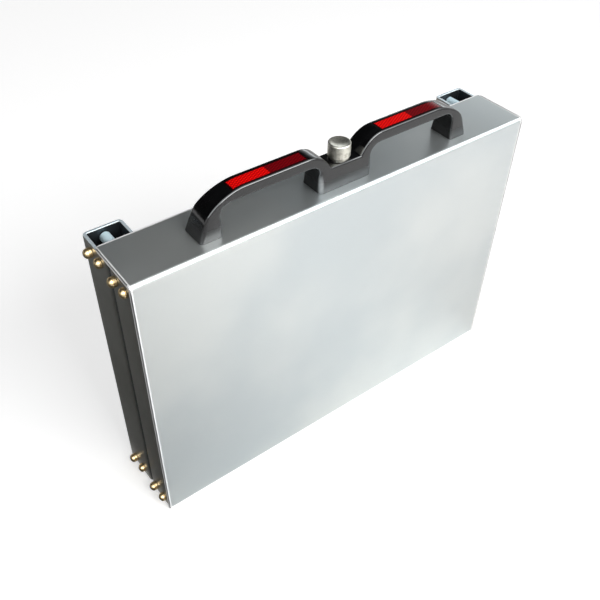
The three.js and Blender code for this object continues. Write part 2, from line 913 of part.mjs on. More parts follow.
function buildHandleScrews() {
  const shank = handleScrewShank / 2;
  const head = handleScrewHead / 2;
  const points = [
    [0, -seat - handleScrewHeadHeight],
    [head - seat, -seat - handleScrewHeadHeight],
    [head, -seat - handleScrewHeadHeight / 2],
    [head, -seat],
    [shank, -seat],
    [shank, shellSheet + handleScrewBite],
    [0, shellSheet + handleScrewBite],
  ];
  const geometry = turned(points, 10);
  for (const [name, x, y] of handleScrewPlaces()) {
    addPart(`handle_screw_${name}`, placed(geometry, x, y, deckUnder), finishes.steel);
  }
}

function buildLockBarrel() {
  const bore = spindleDiameter / 2 + fit;
  const points = [
    [bore, barrelBottom],
    [barrelDiameter / 2, barrelBottom],
    [barrelDiameter / 2, bridgeTop + seat],
    [barrelFlange / 2, bridgeTop + seat],
    [barrelFlange / 2, bridgeTop + seat + barrelFlangeHeight],
    [bore, bridgeTop + seat + barrelFlangeHeight],
    [bore, barrelBottom],
  ];
  addPart('lock_barrel', placed(turned(points, manySides), 0, lockY, 0), finishes.nickel);
  const nut = hexagon(barrelNutFlats);
  const hole = new THREE.Path();
  hole.absarc(0, 0, barrelDiameter / 2 + seat, 0, 2 * Math.PI);
  nut.holes.push(hole);
  const top = deckUnder - seat;
  const ring = prism(nut, [top - barrelNutHeight, top], { curveSegments: 10 });
  const nutSolid = placed(ring, 0, lockY, 0);
  addPart('lock_nut', nutSolid, finishes.steel);
}

function buildKnob() {
  const bottom = bridgeTop + seat + barrelFlangeHeight + fit;
  const top = bottom + knobHeight;
  const radius = knobDiameter / 2;
  const bore = spindleDiameter / 2 + seat;
  const rim = radius - knobRim;
  const points = [
    [0, bottom + knobSocket],
    [bore, bottom + knobSocket],
    [bore, bottom],
    [radius - knobEdge, bottom],
    [radius, bottom + knobEdge],
    [radius, top - knobEdge],
    [radius - knobEdge, top],
    [rim, top],
  ];
  const steps = 3;
  for (let i = 1; i <= steps; i += 1) {
    const share = i / steps;
    points.push([rim * (1 - share), top - knobDish * (1 - (1 - share) ** 2)]);
  }
  addPart('lock_knob', placed(turned(points, 24), 0, lockY, 0), finishes.nickel);
  const spindleTop = bottom + knobSocket - seat;
  const camBottom = camTop - camThickness;
  const studEnd = camBottom - seat - camNutHeight - seat;
  const shaft = rod('z', spindleDiameter / 2, [camTop + seat, spindleTop], [0, 0, 0], 16);
  const square = around(0, spindleSquare);
  const key = block(square, square, [camBottom, camTop + 2 * seat]);
  const stud = rod('z', camStud / 2, [studEnd, camTop], [0, 0, 0], 12);
  const spindle = shaft.add(key).add(stud).translate([0, lockY, 0]);
  addPart('lock_spindle', spindle, finishes.steel);
}

function buildCam() {
  const outline = new THREE.Shape();
  const tipRound = camHalfWidth / 2;
  outline.moveTo(0, camHub);
  outline.lineTo(-camHub, camHalfWidth);
  outline.lineTo(-camLength + tipRound, camHalfWidth);
  outline.quadraticCurveTo(-camLength, camHalfWidth, -camLength, camHalfWidth - tipRound);
  outline.lineTo(-camLength, -camHalfWidth + tipRound);
  outline.quadraticCurveTo(-camLength, -camHalfWidth, -camLength + tipRound, -camHalfWidth);
  outline.lineTo(-camHub, -camHalfWidth);
  outline.lineTo(0, -camHub);
  outline.absarc(0, 0, camHub, -Math.PI / 2, Math.PI / 2, false);
  outline.closePath();
  const camBottom = camTop - camThickness;
  const square = around(0, spindleSquare + 2 * seat);
  const hole = block(square, square, [camBottom - overrun, camTop + overrun]);
  const cam = solidOf(prism(outline, [camBottom, camTop])).subtract(hole).translate([0, lockY, 0]);
  addPart('lock_cam', cam, finishes.steel);
  const nut = hexagon(camNutFlats);
  const bore = new THREE.Path();
  bore.absarc(0, 0, camStud / 2 + seat, 0, 2 * Math.PI);
  nut.holes.push(bore);
  const top = camBottom - seat;
  const ring = prism(nut, [top - camNutHeight, top], { curveSegments: 8 });
  addPart('cam_nut', placed(ring, 0, lockY, 0), finishes.steel);
}

// Bays of the cell frame: centre along X and floor level of each
function bays() {
  const list = [];
  for (const [end, side] of Object.entries(sides)) {
    const x = side * (frameWall / 2 + bayWidth / 2);
    list.push({ name: `lower_${end}`, side, x, floor: frameBottom + frameWall });
    list.push({ name: `upper_${end}`, side, x, floor: frameBottom + 2 * frameWall + bayHeight });
  }
  return list;
}

function rowCentre(row) {
  return stackFront + cellThickness / 2 + row * (cellThickness + cellGap);
}

function buildCellFrame() {
  const middle = (frameBottom + frameTop) / 2;
  const height = frameTop - frameBottom;
  const depth = [stackFront, stackBack];
  let frame = block([-frameHalf, frameHalf], depth, around(middle, height));
  const past = [stackFront - overrun, stackBack + overrun];
  for (const bay of bays()) {
    const window = block(around(bay.x, bayWidth), past, [bay.floor, bay.floor + bayHeight]);
    frame = frame.subtract(window);
  }
  const y = (stackFront + stackBack) / 2;
  for (const [x, dy] of boardPosts()) {
    const post = [frameTop - frameWall / 2, frameTop + boardPost - seat];
    frame = frame.add(rod('z', boardPostDiameter / 2, post, [x, y + dy, 0], 8));
  }
  addPart('cell_frame', frame, finishes.frame);
}

function boardPosts() {
  const dx = boardLength / 2 - boardPostDiameter;
  const dy = boardDepth / 2 - boardPostDiameter;
  const posts = [];
  for (const sx of [-1, 1]) {
    for (const sy of [-1, 1]) posts.push([boardX + sx * dx, sy * dy]);
  }
  return posts;
}

function cellSolid() {
  const outline = roundedRectangle(cellWidth, cellHeight, cellCorner);
  const bevel = {
    bevelEnabled: true,
    bevelThickness: cellBevel,
    bevelSize: cellBevel,
    bevelOffset: -cellBevel,
    bevelSegments: 1,
    curveSegments: 1,
  };
  const half = cellThickness / 2;
  let cell = solidOf(runAlongY(outline, [-half + cellBevel, half - cellBevel], bevel));
  for (const side of [-1, 1]) {
    const x = around(side * (cellWidth / 2 - tabInset - tabWidth / 2), tabWidth);
    const z = [cellHeight / 2 - cellBevel, cellHeight / 2 + tabHeight];
    cell = cell.add(block(x, around(0, tabThickness), z));
  }
  return cell;
}

// Three cells in a row, welded in series by straps across their tabs
function cellModule(side) {
  const cell = cellSolid();
  const tabX = cellWidth / 2 - tabInset - tabWidth / 2;
  const tabTop = cellHeight / 2 + tabHeight;
  const z = [tabTop - linkThickness, tabTop + linkThickness / 2];
  const pieces = [];
  for (let row = 0; row < cellRows; row += 1) {
    pieces.push(cell.translate([0, rowCentre(row), 0]));
    const inward = row % 2 === 0 ? -1 : 1;
    const y = [rowCentre(row) - tabThickness, rowCentre(row + 1) + tabThickness];
    if (row + 1 < cellRows) pieces.push(block(around(side * inward * tabX, tabWidth), y, z));
  }
  return joined(pieces);
}

function buildCells() {
  for (const bay of bays()) {
    const at = [bay.x, 0, bay.floor + seat + cellHeight / 2];
    addPart(`cell_module_${bay.name}`, cellModule(bay.side).translate(at), finishes.pouch);
  }
}

function buildFoam() {
  const frontHalf = innerHalf - bracketLeg - 2 * fit;
  const front = [panelInner + seat, stackFront - seat];
  const back = [stackBack + seat, backInner - seat];
  const above = [trayFloor + trayRim + fit, frameTop];
  addPart('foam_front', block([-frontHalf, frontHalf], front, above), finishes.foam);
  addPart('foam_rear', block([-frameHalf, frameHalf], back, above), finishes.foam);
}

function buildProtectionBoard() {
  const y = (stackFront + stackBack) / 2;
  const bottom = frameTop + boardPost;
  const top = bottom + boardThickness;
  let board = block(around(boardX, boardLength), around(y, boardDepth), [bottom, top]);
  const pitch = boardLength / (chipCount + 1);
  const chipY = y - boardDepth / 2 + chipDepth;
  for (let i = 1; i <= chipCount; i += 1) {
    const x = boardX - boardLength / 2 + i * pitch;
    const chip = block(around(x, chipLength), around(chipY, chipDepth), [top - seat, top + chipHeight]);
    board = board.add(chip);
  }
  addPart('protection_board', board, finishes.board);
  const sinkY = y + boardDepth / 2 - sinkDepth / 2;
  const sinkX = around(boardX, sinkLength);
  let sink = block(sinkX, around(sinkY, sinkDepth), [top + seat, top + seat + sinkBase]);
  const finPitch = sinkDepth / sinkFins;
  for (let i = 0; i < sinkFins; i += 1) {
    const finY = sinkY - sinkDepth / 2 + (i + 1 / 2) * finPitch;
    const z = [top + seat + sinkBase / 2, top + seat + sinkHeight];
    sink = sink.add(block(sinkX, around(finY, finPitch / 2), z));
  }
  addPart('heat_sink', sink, finishes.steel);
}

function buildFuse() {
  const y = (stackFront + stackBack) / 2 - fuseDepth / 2;
  const base = frameTop + seat;
  const slotWidth = fuseBladeWidth + 2 * fit;
  const slotDepth = fuseBladeThickness + 2 * fit;
  const slotFloor = base + fuseHeight - fuseBladeHeight;
  let holder = block(around(fuseX, fuseLength), around(y, fuseDepth), [base, base + fuseHeight]);
  const slot = [slotFloor, base + fuseHeight + overrun];
  holder = holder.subtract(block(around(fuseX, slotWidth), around(y, slotDepth), slot));
  const blade = [slotFloor - seat, slotFloor + fuseBladeHeight + fuseBladeThickness];
  const fuse = block(around(fuseX, fuseBladeWidth), around(y, fuseBladeThickness), blade);
  addPart('fuse_holder', holder.add(fuse), finishes.socket);
}

function buildSockets() {
  const face = deckBack + seat;
  const outer = face + socketFlange;
  const flangeY = [face, outer];
  const wide = (width) => around(powerX, width);
  const level = (height) => around(socketLevel, height);
  let power = block(wide(powerFlangeWidth), flangeY, level(powerFlangeHeight));
  const bodyY = [outer - powerBodyDepth, face + seat];
  power = power.add(block(wide(powerBodyWidth), bodyY, level(powerBodyHeight)));
  const recessY = [outer - powerRecessDepth, outer + overrun];
  power = power.subtract(block(wide(powerRecessWidth), recessY, level(powerRecessHeight)));
  const pinY = [outer - powerRecessDepth - seat, outer - powerRecessDepth + powerPinLength];
  for (let i = -1; i <= 1; i += 1) {
    const x = around(powerX + i * powerPinPitch, powerPinThickness);
    const z = socketLevel + (i === 0 ? powerPinWidth : -powerPinWidth) / 2;
    power = power.add(block(x, pinY, around(z, powerPinWidth)));
  }
  let charge = block(around(chargeX, chargeFlange), flangeY, level(chargeFlange));
  const chargeAt = [chargeX, 0, socketLevel];
  charge = charge.add(rod('y', chargeBody / 2, [outer - chargeDepth, face + seat], chargeAt, 16));
  const bore = [outer - chargeRecessDepth, outer + overrun];
  charge = charge.subtract(rod('y', chargeBore / 2, bore, chargeAt, 16));
  const pin = [outer - chargeRecessDepth - seat, outer - chargePin];
  charge = charge.add(rod('y', chargePin / 2, pin, chargeAt, 8));
  const screws = socketScrewPlaces().map(([x, z]) => backScrew(x, z));
  power = joined([power, ...screws.slice(0, 2)]);
  charge = joined([charge, ...screws.slice(2)]);
  addPart('power_socket', power, finishes.socket);
  addPart('charge_socket', charge, finishes.socket);
}

// A flexible lead: a round section that follows a smooth curve through hand-chosen points
function lead(name, points, material) {
  const curve = new THREE.CatmullRomCurve3(points.map((point) => new THREE.Vector3(...point)));
  const section = new THREE.Shape();
  section.absarc(0, 0, leadDiameter / 2, 0, 2 * Math.PI);
  const geometry = new THREE.ExtrudeGeometry(section, {
    steps: 14,
    curveSegments: 4,
    bevelEnabled: false,
    extrudePath: curve,
  });
  addPart(name, solidOf(geometry), material);
}

function buildLeads() {
  const socketBack = deckBack + seat + socketFlange - powerBodyDepth - fit;
  const pinX = powerPinPitch;
  const r = leadDiameter / 2;
  const fuseY = (stackFront + stackBack) / 2 - fuseDepth / 2;
  const fuseEnd = fuseX + fuseLength / 2 + fit;
  const low = frameTop + seat + fuseHeight / 2;
  lead('positive_lead', [
    [fuseEnd, fuseY, low],
    [fuseEnd + 2 * r, fuseY, low],
    [powerX - pinX, socketBack - 4 * r, socketLevel - 2 * r],
    [powerX - pinX, socketBack - 2 * r, socketLevel],
    [powerX - pinX, socketBack, socketLevel],
  ], finishes.redLead);
  const boardEnd = boardX + boardLength / 2 + fit;
  const boardLevel = frameTop + boardPost + boardThickness / 2;
  lead('negative_lead', [
    [boardEnd, fuseY, boardLevel],
    [boardEnd + 3 * r, fuseY, boardLevel],
    [fuseX - fuseLength / 2 - 2 * r, fuseY - fuseDepth / 2 - 2 * r, low],
    [fuseX + fuseLength / 2, fuseY - fuseDepth / 2 - 2 * r, low],
    [powerX + pinX, socketBack - 6 * r, low],
    [powerX + pinX, socketBack - 2 * r, socketLevel],
    [powerX + pinX, socketBack, socketLevel],
  ], finishes.blackLead);
}

buildShell();
buildColumns();
buildFeet();
buildDeckPads();
buildTieBars();
buildDomeScrews();
buildBackPanel();
buildTray();
buildHandle();
buildHandleScrews();
buildLockBarrel();
buildKnob();
buildCam();
buildCellFrame();
buildCells();
buildFoam();
buildProtectionBoard();
buildFuse();
buildSockets();
buildLeads();

export default batteryBox;
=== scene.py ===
"""Looks of a flat aluminium battery box with a twin-grip handle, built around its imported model."""

import math

import bpy
import numpy as np
from mathutils import Euler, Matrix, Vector


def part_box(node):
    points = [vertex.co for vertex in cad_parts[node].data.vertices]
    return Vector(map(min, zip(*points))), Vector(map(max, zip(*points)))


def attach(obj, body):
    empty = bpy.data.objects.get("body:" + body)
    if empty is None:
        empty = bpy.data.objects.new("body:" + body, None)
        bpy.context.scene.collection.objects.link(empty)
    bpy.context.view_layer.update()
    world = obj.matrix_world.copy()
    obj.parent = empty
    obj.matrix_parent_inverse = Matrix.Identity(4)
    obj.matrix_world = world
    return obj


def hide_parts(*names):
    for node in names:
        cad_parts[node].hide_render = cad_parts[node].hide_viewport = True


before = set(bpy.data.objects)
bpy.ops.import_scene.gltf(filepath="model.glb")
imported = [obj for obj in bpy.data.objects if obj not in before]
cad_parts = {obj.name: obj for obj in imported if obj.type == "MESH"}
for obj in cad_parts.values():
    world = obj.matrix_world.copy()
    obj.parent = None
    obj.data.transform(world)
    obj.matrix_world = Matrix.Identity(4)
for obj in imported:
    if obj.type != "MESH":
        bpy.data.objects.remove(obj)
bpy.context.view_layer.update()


# The camera looks down on the box from in front of its left end, from head height.
# Its place, turn and lens were worked out from the straight edges of the case.
camera_place = (-0.3393, -0.4127, 0.6272)
camera_turn_degrees = (46.906, -0.925, -36.674)
camera_lens_mm = 45.46
camera_sensor_mm = 36.0
camera_nearest = 0.01

camera_data = bpy.data.cameras.new("camera")
camera_data.sensor_width = camera_sensor_mm
camera_data.lens = camera_lens_mm
camera_data.clip_start = camera_nearest
camera = bpy.data.objects.new("camera", camera_data)
camera.location = camera_place
camera.rotation_euler = Euler([math.radians(a) for a in camera_turn_degrees])
bpy.context.scene.collection.objects.link(camera)
bpy.context.scene.camera = camera
bpy.context.scene.view_settings.view_transform = "Standard"


# The studio: a pale floor under an even pale sky, and one wide soft lamp in front of the box.
# Only reflections see the level cards: dark ones above the back and on the floor at the left
# and in front keep it from glaring, and white ones above the front and far right light its edges.
floor_half = 6.0
floor_colour = (0.86, 0.86, 0.86, 1.0)
floor_glow_seen = 0.46
floor_glow_mirrored = 0.22
sky_fill = 0.42
lamp_from = Vector((0.16, -0.74, 0.61))
lamp_distance = 1.6
lamp_aim = Vector((0, 0, 0.15))
lamp_width, lamp_height = 1.25, 0.6
lamp_watts = 23.5
card_tint = (0.93, 0.98, 1.0, 1.0)
# Each card changes along an axis, X (0) or Y (1), between the two places of its fade. The shades
# are the light that it gives at both, and the covers how much of what lies behind it it hides.
cards = {
    "back_card": {
        "corners": ((-6.0, 0.15), (2.6, 6.0)), "height": 1.2, "axis": 0,
        "fade": (0.85, 2.2), "shades": (0.02, 0.95), "covers": (1.0, 1.0),
    },
    "side_card": {
        "corners": ((-6.0, -0.45), (-0.203, 6.0)), "height": 0.0005, "axis": 1,
        "fade": (-0.02, 0.5), "shades": (0.064, 0.16), "covers": (1.0, 1.0),
    },
    "front_card": {
        "corners": ((-0.6, -0.7), (0.14, -0.041)), "height": 0.0008, "axis": 0,
        "fade": (-0.24, 0.13), "shades": (0.05, 0.05), "covers": (0.38, 0.0),
    },
    "foot_card": {
        "corners": ((-0.6, -0.24), (1.0, -0.041)), "height": 0.0011, "axis": 1,
        "fade": (-0.24, -0.08), "shades": (0.05, 0.05), "covers": (0.0, 0.19),
    },
    "white_card": {
        "corners": ((-4.0, -2.4), (2.0, -0.35)), "height": 1.5, "axis": 0,
        "fade": (-4.0, 3.0), "shades": (5.4, 5.4), "covers": (1.0, 1.0),
    },
    "far_card": {
        "corners": ((0.8, 0.4), (4.0, 4.0)), "height": 0.62, "axis": 0,
        "fade": (0.8, 1.4), "shades": (3.0, 3.0), "covers": (0.0, 1.0),
    },
}


class Wire:
    """One output of a shader node. Arithmetic on wires adds Math nodes to their material."""

    def __init__(self, finish, socket):
        self.finish, self.socket = finish, socket

    def worked(self, operation, *values):
        return self.finish.node("Math", {"operation": operation}, dict(enumerate(values)))

    def __add__(self, other):
        return self.worked("ADD", self, other)

    def __radd__(self, other):
        return self.worked("ADD", other, self)

    def __sub__(self, other):
        return self.worked("SUBTRACT", self, other)

    def __rsub__(self, other):
        return self.worked("SUBTRACT", other, self)

    def __mul__(self, other):
        return self.worked("MULTIPLY", self, other)

    def __truediv__(self, other):
        return self.worked("DIVIDE", self, other)

    def absolute(self):
        return self.worked("ABSOLUTE", self)

    def larger(self, other):
        return self.worked("MAXIMUM", self, other)

    def zigzag(self, pitch):
        """Climbs to the pitch and falls back to 0, over and over, as this value grows."""
        return self.worked("PINGPONG", self, pitch)

    def clamped(self):
        return self.finish.node("Clamp", {}, {"Value": self})

    def ramp(self, start, end, low=0.0, high=1.0):
        """Goes smoothly from low to high as this value goes from start to end."""
        settings = {"interpolation_type": "SMOOTHSTEP"}
        return self.finish.node("MapRange", settings, {0: self, 1: start, 2: end, 3: low, 4: high})


class Finish:
    """A material being drawn: node() adds any node, and feed() sets or links any socket."""

    ray_kinds = {"camera": 0, "glossy": 3, "transmission": 6}

    def __init__(self, name, **constants):
        self.material = bpy.data.materials.new(name)
        self.material.use_nodes = True
        self.tree = self.material.node_tree
        self.surface = self.tree.nodes["Principled BSDF"]
        self.paint(**constants)

    def node(self, kind, settings, values, output=0):
        made = self.tree.nodes.new("ShaderNode" + kind)
        for key, value in settings.items():
            setattr(made, key, value)
        for key, value in values.items():
            self.feed(made.inputs[key], value)
        return Wire(self, made.outputs[output])

    def feed(self, socket, value):
        if isinstance(value, Wire):
            self.tree.links.new(value.socket, socket)
        else:
            socket.default_value = value

    def paint(self, **values):
        for key, value in values.items():
            self.feed(self.surface.inputs[key.replace("_", " ")], value)

    def bumped(self, height, strength, depth):
        bump = self.node("Bump", {}, {"Height": height, "Strength": strength, "Distance": depth})
        self.paint(Normal=bump)

    def shown_as(self, shader):
        self.feed(self.tree.nodes["Material Output"].inputs["Surface"], shader)

    def place(self, scale=(1, 1, 1), centre=(0, 0, 0)):
        """Object coordinates in metres, moved to a centre and then stretched."""
        here = self.node("TexCoord", {}, {}, output=3)
        moved = self.node("VectorMath", {"operation": "SUBTRACT"}, {0: here, 1: centre})
        return self.node("VectorMath", {"operation": "MULTIPLY"}, {0: moved, 1: scale})

    def coordinate(self, axis, place=None):
        """X, Y or Z (axis 0, 1 or 2) of a place, or of the surface where none is given."""
        return self.node("SeparateXYZ", {}, {0: place or self.place()}, output=axis)

    def length(self, place):
        return self.node("VectorMath", {"operation": "LENGTH"}, {0: place}, output=1)

    def noise(self, place, scale, detail=2.0):
        return self.node("TexNoise", {}, {"Vector": place, "Scale": scale, "Detail": detail})

    def blended(self, share, first, second):
        return self.node("Mix", {"data_type": "RGBA"}, {0: share, 6: first, 7: second}, output=2)


def flat_card(name, corner_low, corner_high, height):
    """A level rectangle between two corners of the plan, facing up."""
    (x0, y0), (x1, y1) = corner_low, corner_high
    corners = [(x0, y0, height), (x1, y0, height), (x1, y1, height), (x0, y1, height)]
    mesh = bpy.data.meshes.new(name)
    mesh.from_pydata(corners, [], [(0, 1, 2, 3)])
    card = bpy.data.objects.new(name, mesh)
    bpy.context.scene.collection.objects.link(card)
    return card


def studio_floor():
    """Matt, with a glow of its own that the camera sees more of than reflections do."""
    finish = Finish("pale_floor")
    seen, mirrored, through = [
        finish.node("LightPath", {}, {}, output=finish.ray_kinds[kind])
        for kind in ("camera", "glossy", "transmission")
    ]
    matt = finish.node("BsdfDiffuse", {}, {"Color": floor_colour})
    strength = seen * floor_glow_seen + (mirrored + through).clamped() * floor_glow_mirrored
    glow = finish.node("Emission", {}, {"Color": (1, 1, 1, 1), "Strength": strength})
    finish.shown_as(finish.node("AddShader", {}, {0: matt, 1: glow}))
    floor = flat_card("floor", (-floor_half, -floor_half), (floor_half, floor_half), 0.0)
    floor.data.materials.append(finish.material)


def studio_sky():
    """White to the camera, in reflections and through glass, and dimmer as a light."""
    world = bpy.data.worlds.new("sky")
    world.use_nodes = True
    bpy.context.scene.world = world
    nodes, links = world.node_tree.nodes, world.node_tree.links
    path = nodes.new("ShaderNodeLightPath")
    white = path.outputs["Is Camera Ray"]
    for kind in ("Is Glossy Ray", "Is Transmission Ray"):
        either = nodes.new("ShaderNodeMath")
        either.operation = "MAXIMUM"
        links.new(white, either.inputs[0])
        links.new(path.outputs[kind], either.inputs[1])
        white = either.outputs[0]
    strength = nodes.new("ShaderNodeMapRange")
    links.new(white, strength.inputs[0])
    strength.inputs[3].default_value = sky_fill
    strength.inputs[4].default_value = 1.0
    links.new(strength.outputs[0], nodes["Background"].inputs["Strength"])
    nodes["Background"].inputs["Color"].default_value = (1, 1, 1, 1)


def studio_lamp():
    data = bpy.data.lights.new("lamp", "AREA")
    data.shape, data.energy = "RECTANGLE", lamp_watts
    data.size, data.size_y = lamp_width, lamp_height
    lamp = bpy.data.objects.new("lamp", data)
    lamp.location = lamp_from.normalized() * lamp_distance + lamp_aim
    lamp.rotation_euler = lamp_from.to_track_quat("Z", "Y").to_euler()
    bpy.context.scene.collection.objects.link(lamp)


def mirrored_card(name, corners, height, axis, fade, shades, covers):
    """A level card that only reflections see."""
    finish = Finish(name)
    along = finish.coordinate(axis)
    light = {"Color": card_tint, "Strength": along.ramp(*fade, *shades)}
    glow = finish.node("Emission", {}, light)
    clear = finish.node("BsdfTransparent", {}, {})
    cover = along.ramp(*fade, *covers)
    finish.shown_as(finish.node("MixShader", {}, {0: cover, 1: clear, 2: glow}))
    card = flat_card(name, *corners, height)
    card.data.materials.append(finish.material)
    card.visible_camera = card.visible_diffuse = False
    card.visible_shadow = card.visible_transmission = False


studio_floor()
studio_sky()
studio_lamp()
for name, layout in cards.items():
    mirrored_card(name, **layout)


# The front shell is one sheet of aluminium, bent once: it makes the front cover and the top.
# Its face has a fine satin grain and cloudy patches, and its cut edges are rounded, with a bright
# highlight painted along them.
shell_low, shell_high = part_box("front_shell")
shell_sheet = 0.0025
shell_bend = 0.004
shell_bend_steps = 14
shell_edge = 0.0010
shell_depth_back = 0.0161
shell_corner = 0.005
shell_corner_steps = 8
shell_bore = 0.0068
shell_bore_reach = 0.01
lock_x, lock_y = 0.0, -0.0177
shell_colour = (0.525, 0.56, 0.567, 1.0)
shell_patch_colour = (0.615, 0.635, 0.625, 1.0)
# The painted highlight along the cut edges: its colour and metal, and the distances from the edge
# where it starts to fade and where it is gone.
shell_edge_highlight_colour = (0.92, 0.92, 0.92, 1.0)
shell_metal, shell_edge_highlight_metal = 0.84, 0.2
shell_edge_highlight_core, shell_edge_highlight_reach = 0.00156, 0.0026
shell_cloud_scale, shell_cloud_range = 5.5, (0.36, 0.64)
shell_grain_stretch, shell_grain_scale = (0.08, 1, 1), 900.0
shell_smudge_scale = 30.0
shell_roughness, shell_grain_roughness, shell_smudge_roughness = 0.25, 0.07, 0.07
shell_bump = 0.12, 0.0002


def skin(name, rings, shut_ends=True, joined_ends=False, smooth_degrees=35.0):
    """A mesh over rings of points: rings[i, j] is point j of ring i, and each ring closes on
    itself. Neighbouring rings are joined by faces, and the first and last get a flat face or
    meet."""
    count, around = rings.shape[:2]
    here = np.arange(count * around).reshape(count, around)
    rows = here if joined_ends else here[:-1]
    ahead = np.roll(here, -1, axis=0) if joined_ends else here[1:]
    beside = np.roll(rows, -1, axis=1)
    ahead_beside = np.roll(ahead, -1, axis=1)
    faces = np.stack([rows, beside, ahead_beside, ahead], axis=-1).reshape(-1, 4).tolist()
    if shut_ends and not joined_ends:
        faces += [here[0, ::-1].tolist(), here[-1].tolist()]
    mesh = bpy.data.meshes.new(name)
    mesh.from_pydata(rings.reshape(-1, 3).tolist(), [], faces)
    mesh.shade_smooth()
    mesh.set_sharp_from_angle(angle=math.radians(smooth_degrees))
    piece = bpy.data.objects.new(name, mesh)
    bpy.context.scene.collection.objects.link(piece)
    return piece


def arc(centre, radius, start_degrees, end_degrees, steps):
    """Points on a circle: the centre plus the radius times cosine and sine of even angles."""
    angle = np.radians(np.linspace(start_degrees, end_degrees, steps + 1))
    x, y = centre[0] + radius * np.cos(angle), centre[1] + radius * np.sin(angle)
    return np.stack([x, y], axis=-1)


def along_x(outline, stations):
    """An outline in Y and Z repeated at each station along X."""
    rings = np.empty((len(stations), len(outline), 3))
    rings[:, :, 0] = np.asarray(stations)[:, None]
    rings[:, :, 1:] = outline[None]
    return rings


def softened(piece, width, segments=3, degrees=40.0):
    """Rounds the sharp edges of a piece."""
    bevel = piece.modifiers.new("edges", "BEVEL")
    bevel.width, bevel.segments = width, segments
    bevel.limit_method, bevel.angle_limit = "ANGLE", math.radians(degrees)
    bevel.harden_normals = True
    bevel.use_clamp_overlap = False


def drilled(piece, cutters):
    """Takes the cutters' shapes out of a piece for good, and deletes the cutters."""
    for cutter in cutters:
        cut = piece.modifiers.new("cut", "BOOLEAN")
        cut.operation, cut.solver, cut.object = "DIFFERENCE", "EXACT", cutter
    whole = piece.evaluated_get(bpy.context.evaluated_depsgraph_get())
    mesh = bpy.data.meshes.new_from_object(whole)
    piece.modifiers.clear()
    piece.data = mesh
    for cutter in cutters:
        bpy.data.objects.remove(cutter)


def upright_rod(name, radius, bottom, top, x, y, sides=48):
    """A plain round cutter standing along Z."""
    angle = np.linspace(0, 2 * np.pi, sides, endpoint=False)
    rings = np.empty((2, sides, 3))
    rings[:, :, 0] = x + radius * np.cos(angle)
    rings[:, :, 1] = y + radius * np.sin(angle)
    rings[0, :, 2], rings[1, :, 2] = bottom, top
    return skin(name, rings)


def wear(piece, material, nodes, body="case"):
    """Dresses a piece, and says what it rides on and which nodes it stands for."""
    piece.data.materials.clear()
    piece.data.materials.append(material)
    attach(piece, body)
    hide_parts(*nodes)


def satin_aluminium(name, highlighted_edges=()):
    """Rolled sheet: faint cloudy patches, and a fine grain drawn out along X.
    A highlighted edge is given by its axis and place, and gets a painted highlight within a short
    reach."""
    finish = Finish(name)
    clouds = finish.noise(finish.place(), shell_cloud_scale, detail=3.0)
    tone = finish.blended(clouds.ramp(*shell_cloud_range), shell_colour, shell_patch_colour)
    metal = shell_metal
    # Painted highlight: near each of these edges the colour turns pale and less metallic, standing
    # in for the line of light along the rounded edge.
    for axis, place in highlighted_edges:
        away = (finish.coordinate(axis) - place).absolute()
        bright = 1 - away.ramp(shell_edge_highlight_core, shell_edge_highlight_reach)
        tone = finish.blended(bright, tone, shell_edge_highlight_colour)
        metal = metal + bright * (shell_edge_highlight_metal - metal)
    grain = finish.noise(finish.place(scale=shell_grain_stretch), shell_grain_scale)
    smudge = finish.noise(finish.place(), shell_smudge_scale, detail=4.0)
    rough = shell_roughness + grain * shell_grain_roughness + smudge * shell_smudge_roughness
    finish.paint(Base_Color=tone, Metallic=metal, Roughness=rough)
    finish.bumped(grain, *shell_bump)
    return finish.material


def front_shell():
    y0, top, bottom = shell_low.y, shell_high.z, shell_low.z
    bend_centre = (y0 + shell_bend, top - shell_bend)
    outer = arc(bend_centre, shell_bend, 180, 90, shell_bend_steps)
    inner = arc(bend_centre, shell_bend - shell_sheet, 90, 180, shell_bend_steps)
    outline = np.concatenate([
        [(y0 + shell_sheet, bottom), (y0, bottom)],
        outer,
        [(shell_depth_back, top), (shell_depth_back, top - shell_sheet)],
        inner,
    ])
    turn = np.radians(np.linspace(0, 90, shell_corner_steps + 1))
    inwards, setback = shell_corner * (1 - np.cos(turn)), shell_corner * (1 - np.sin(turn))
    stations = np.concatenate([shell_low.x + inwards, (shell_high.x - inwards)[::-1]])
    rings = along_x(outline, stations)
    # The back edge's two points follow a quarter circle at each end, so its corners are round.
    at_back = outline[:, 0] == shell_depth_back
    rings[:, at_back, 1] -= np.concatenate([setback, setback[::-1]])[:, None]
    sheet = skin("front_cover", rings)
    reach = shell_bore_reach
    drilled(sheet, [upright_rod("bore", shell_bore, top - reach, top + reach, lock_x, lock_y)])
    softened(sheet, shell_edge)
    # Both ends, the back edge and the bottom edge get the painted highlight.
    painted_edges = [(0, shell_low.x), (0, shell_high.x), (1, shell_depth_back), (2, bottom)]
    wear(sheet, satin_aluminium("satin_sheet", painted_edges), nodes=["front_shell"])


front_shell()


# The columns are four rectangular aluminium tubes, two at each end of the box. They are open
# at the top behind the deck, where the tie bar inside shows.
column_wall = 0.003
column_radius = 0.004
column_inner_radius = 0.001
column_least_radius = 1e-5
column_rim = 0.0005
column_corner_steps = 8
column_colour = (0.345, 0.33, 0.295, 1.0)
column_patch_colour = (0.41, 0.395, 0.36, 1.0)
column_sawn_colour = (0.60, 0.66, 0.69, 1.0)
# Painted shade: the dark colour laid on the walls of the hollow and along the groove between the
# tubes.
column_shade_colour = (0.035, 0.04, 0.045, 1.0)
column_sawn_start, column_sawn_end = 0.9, 0.2
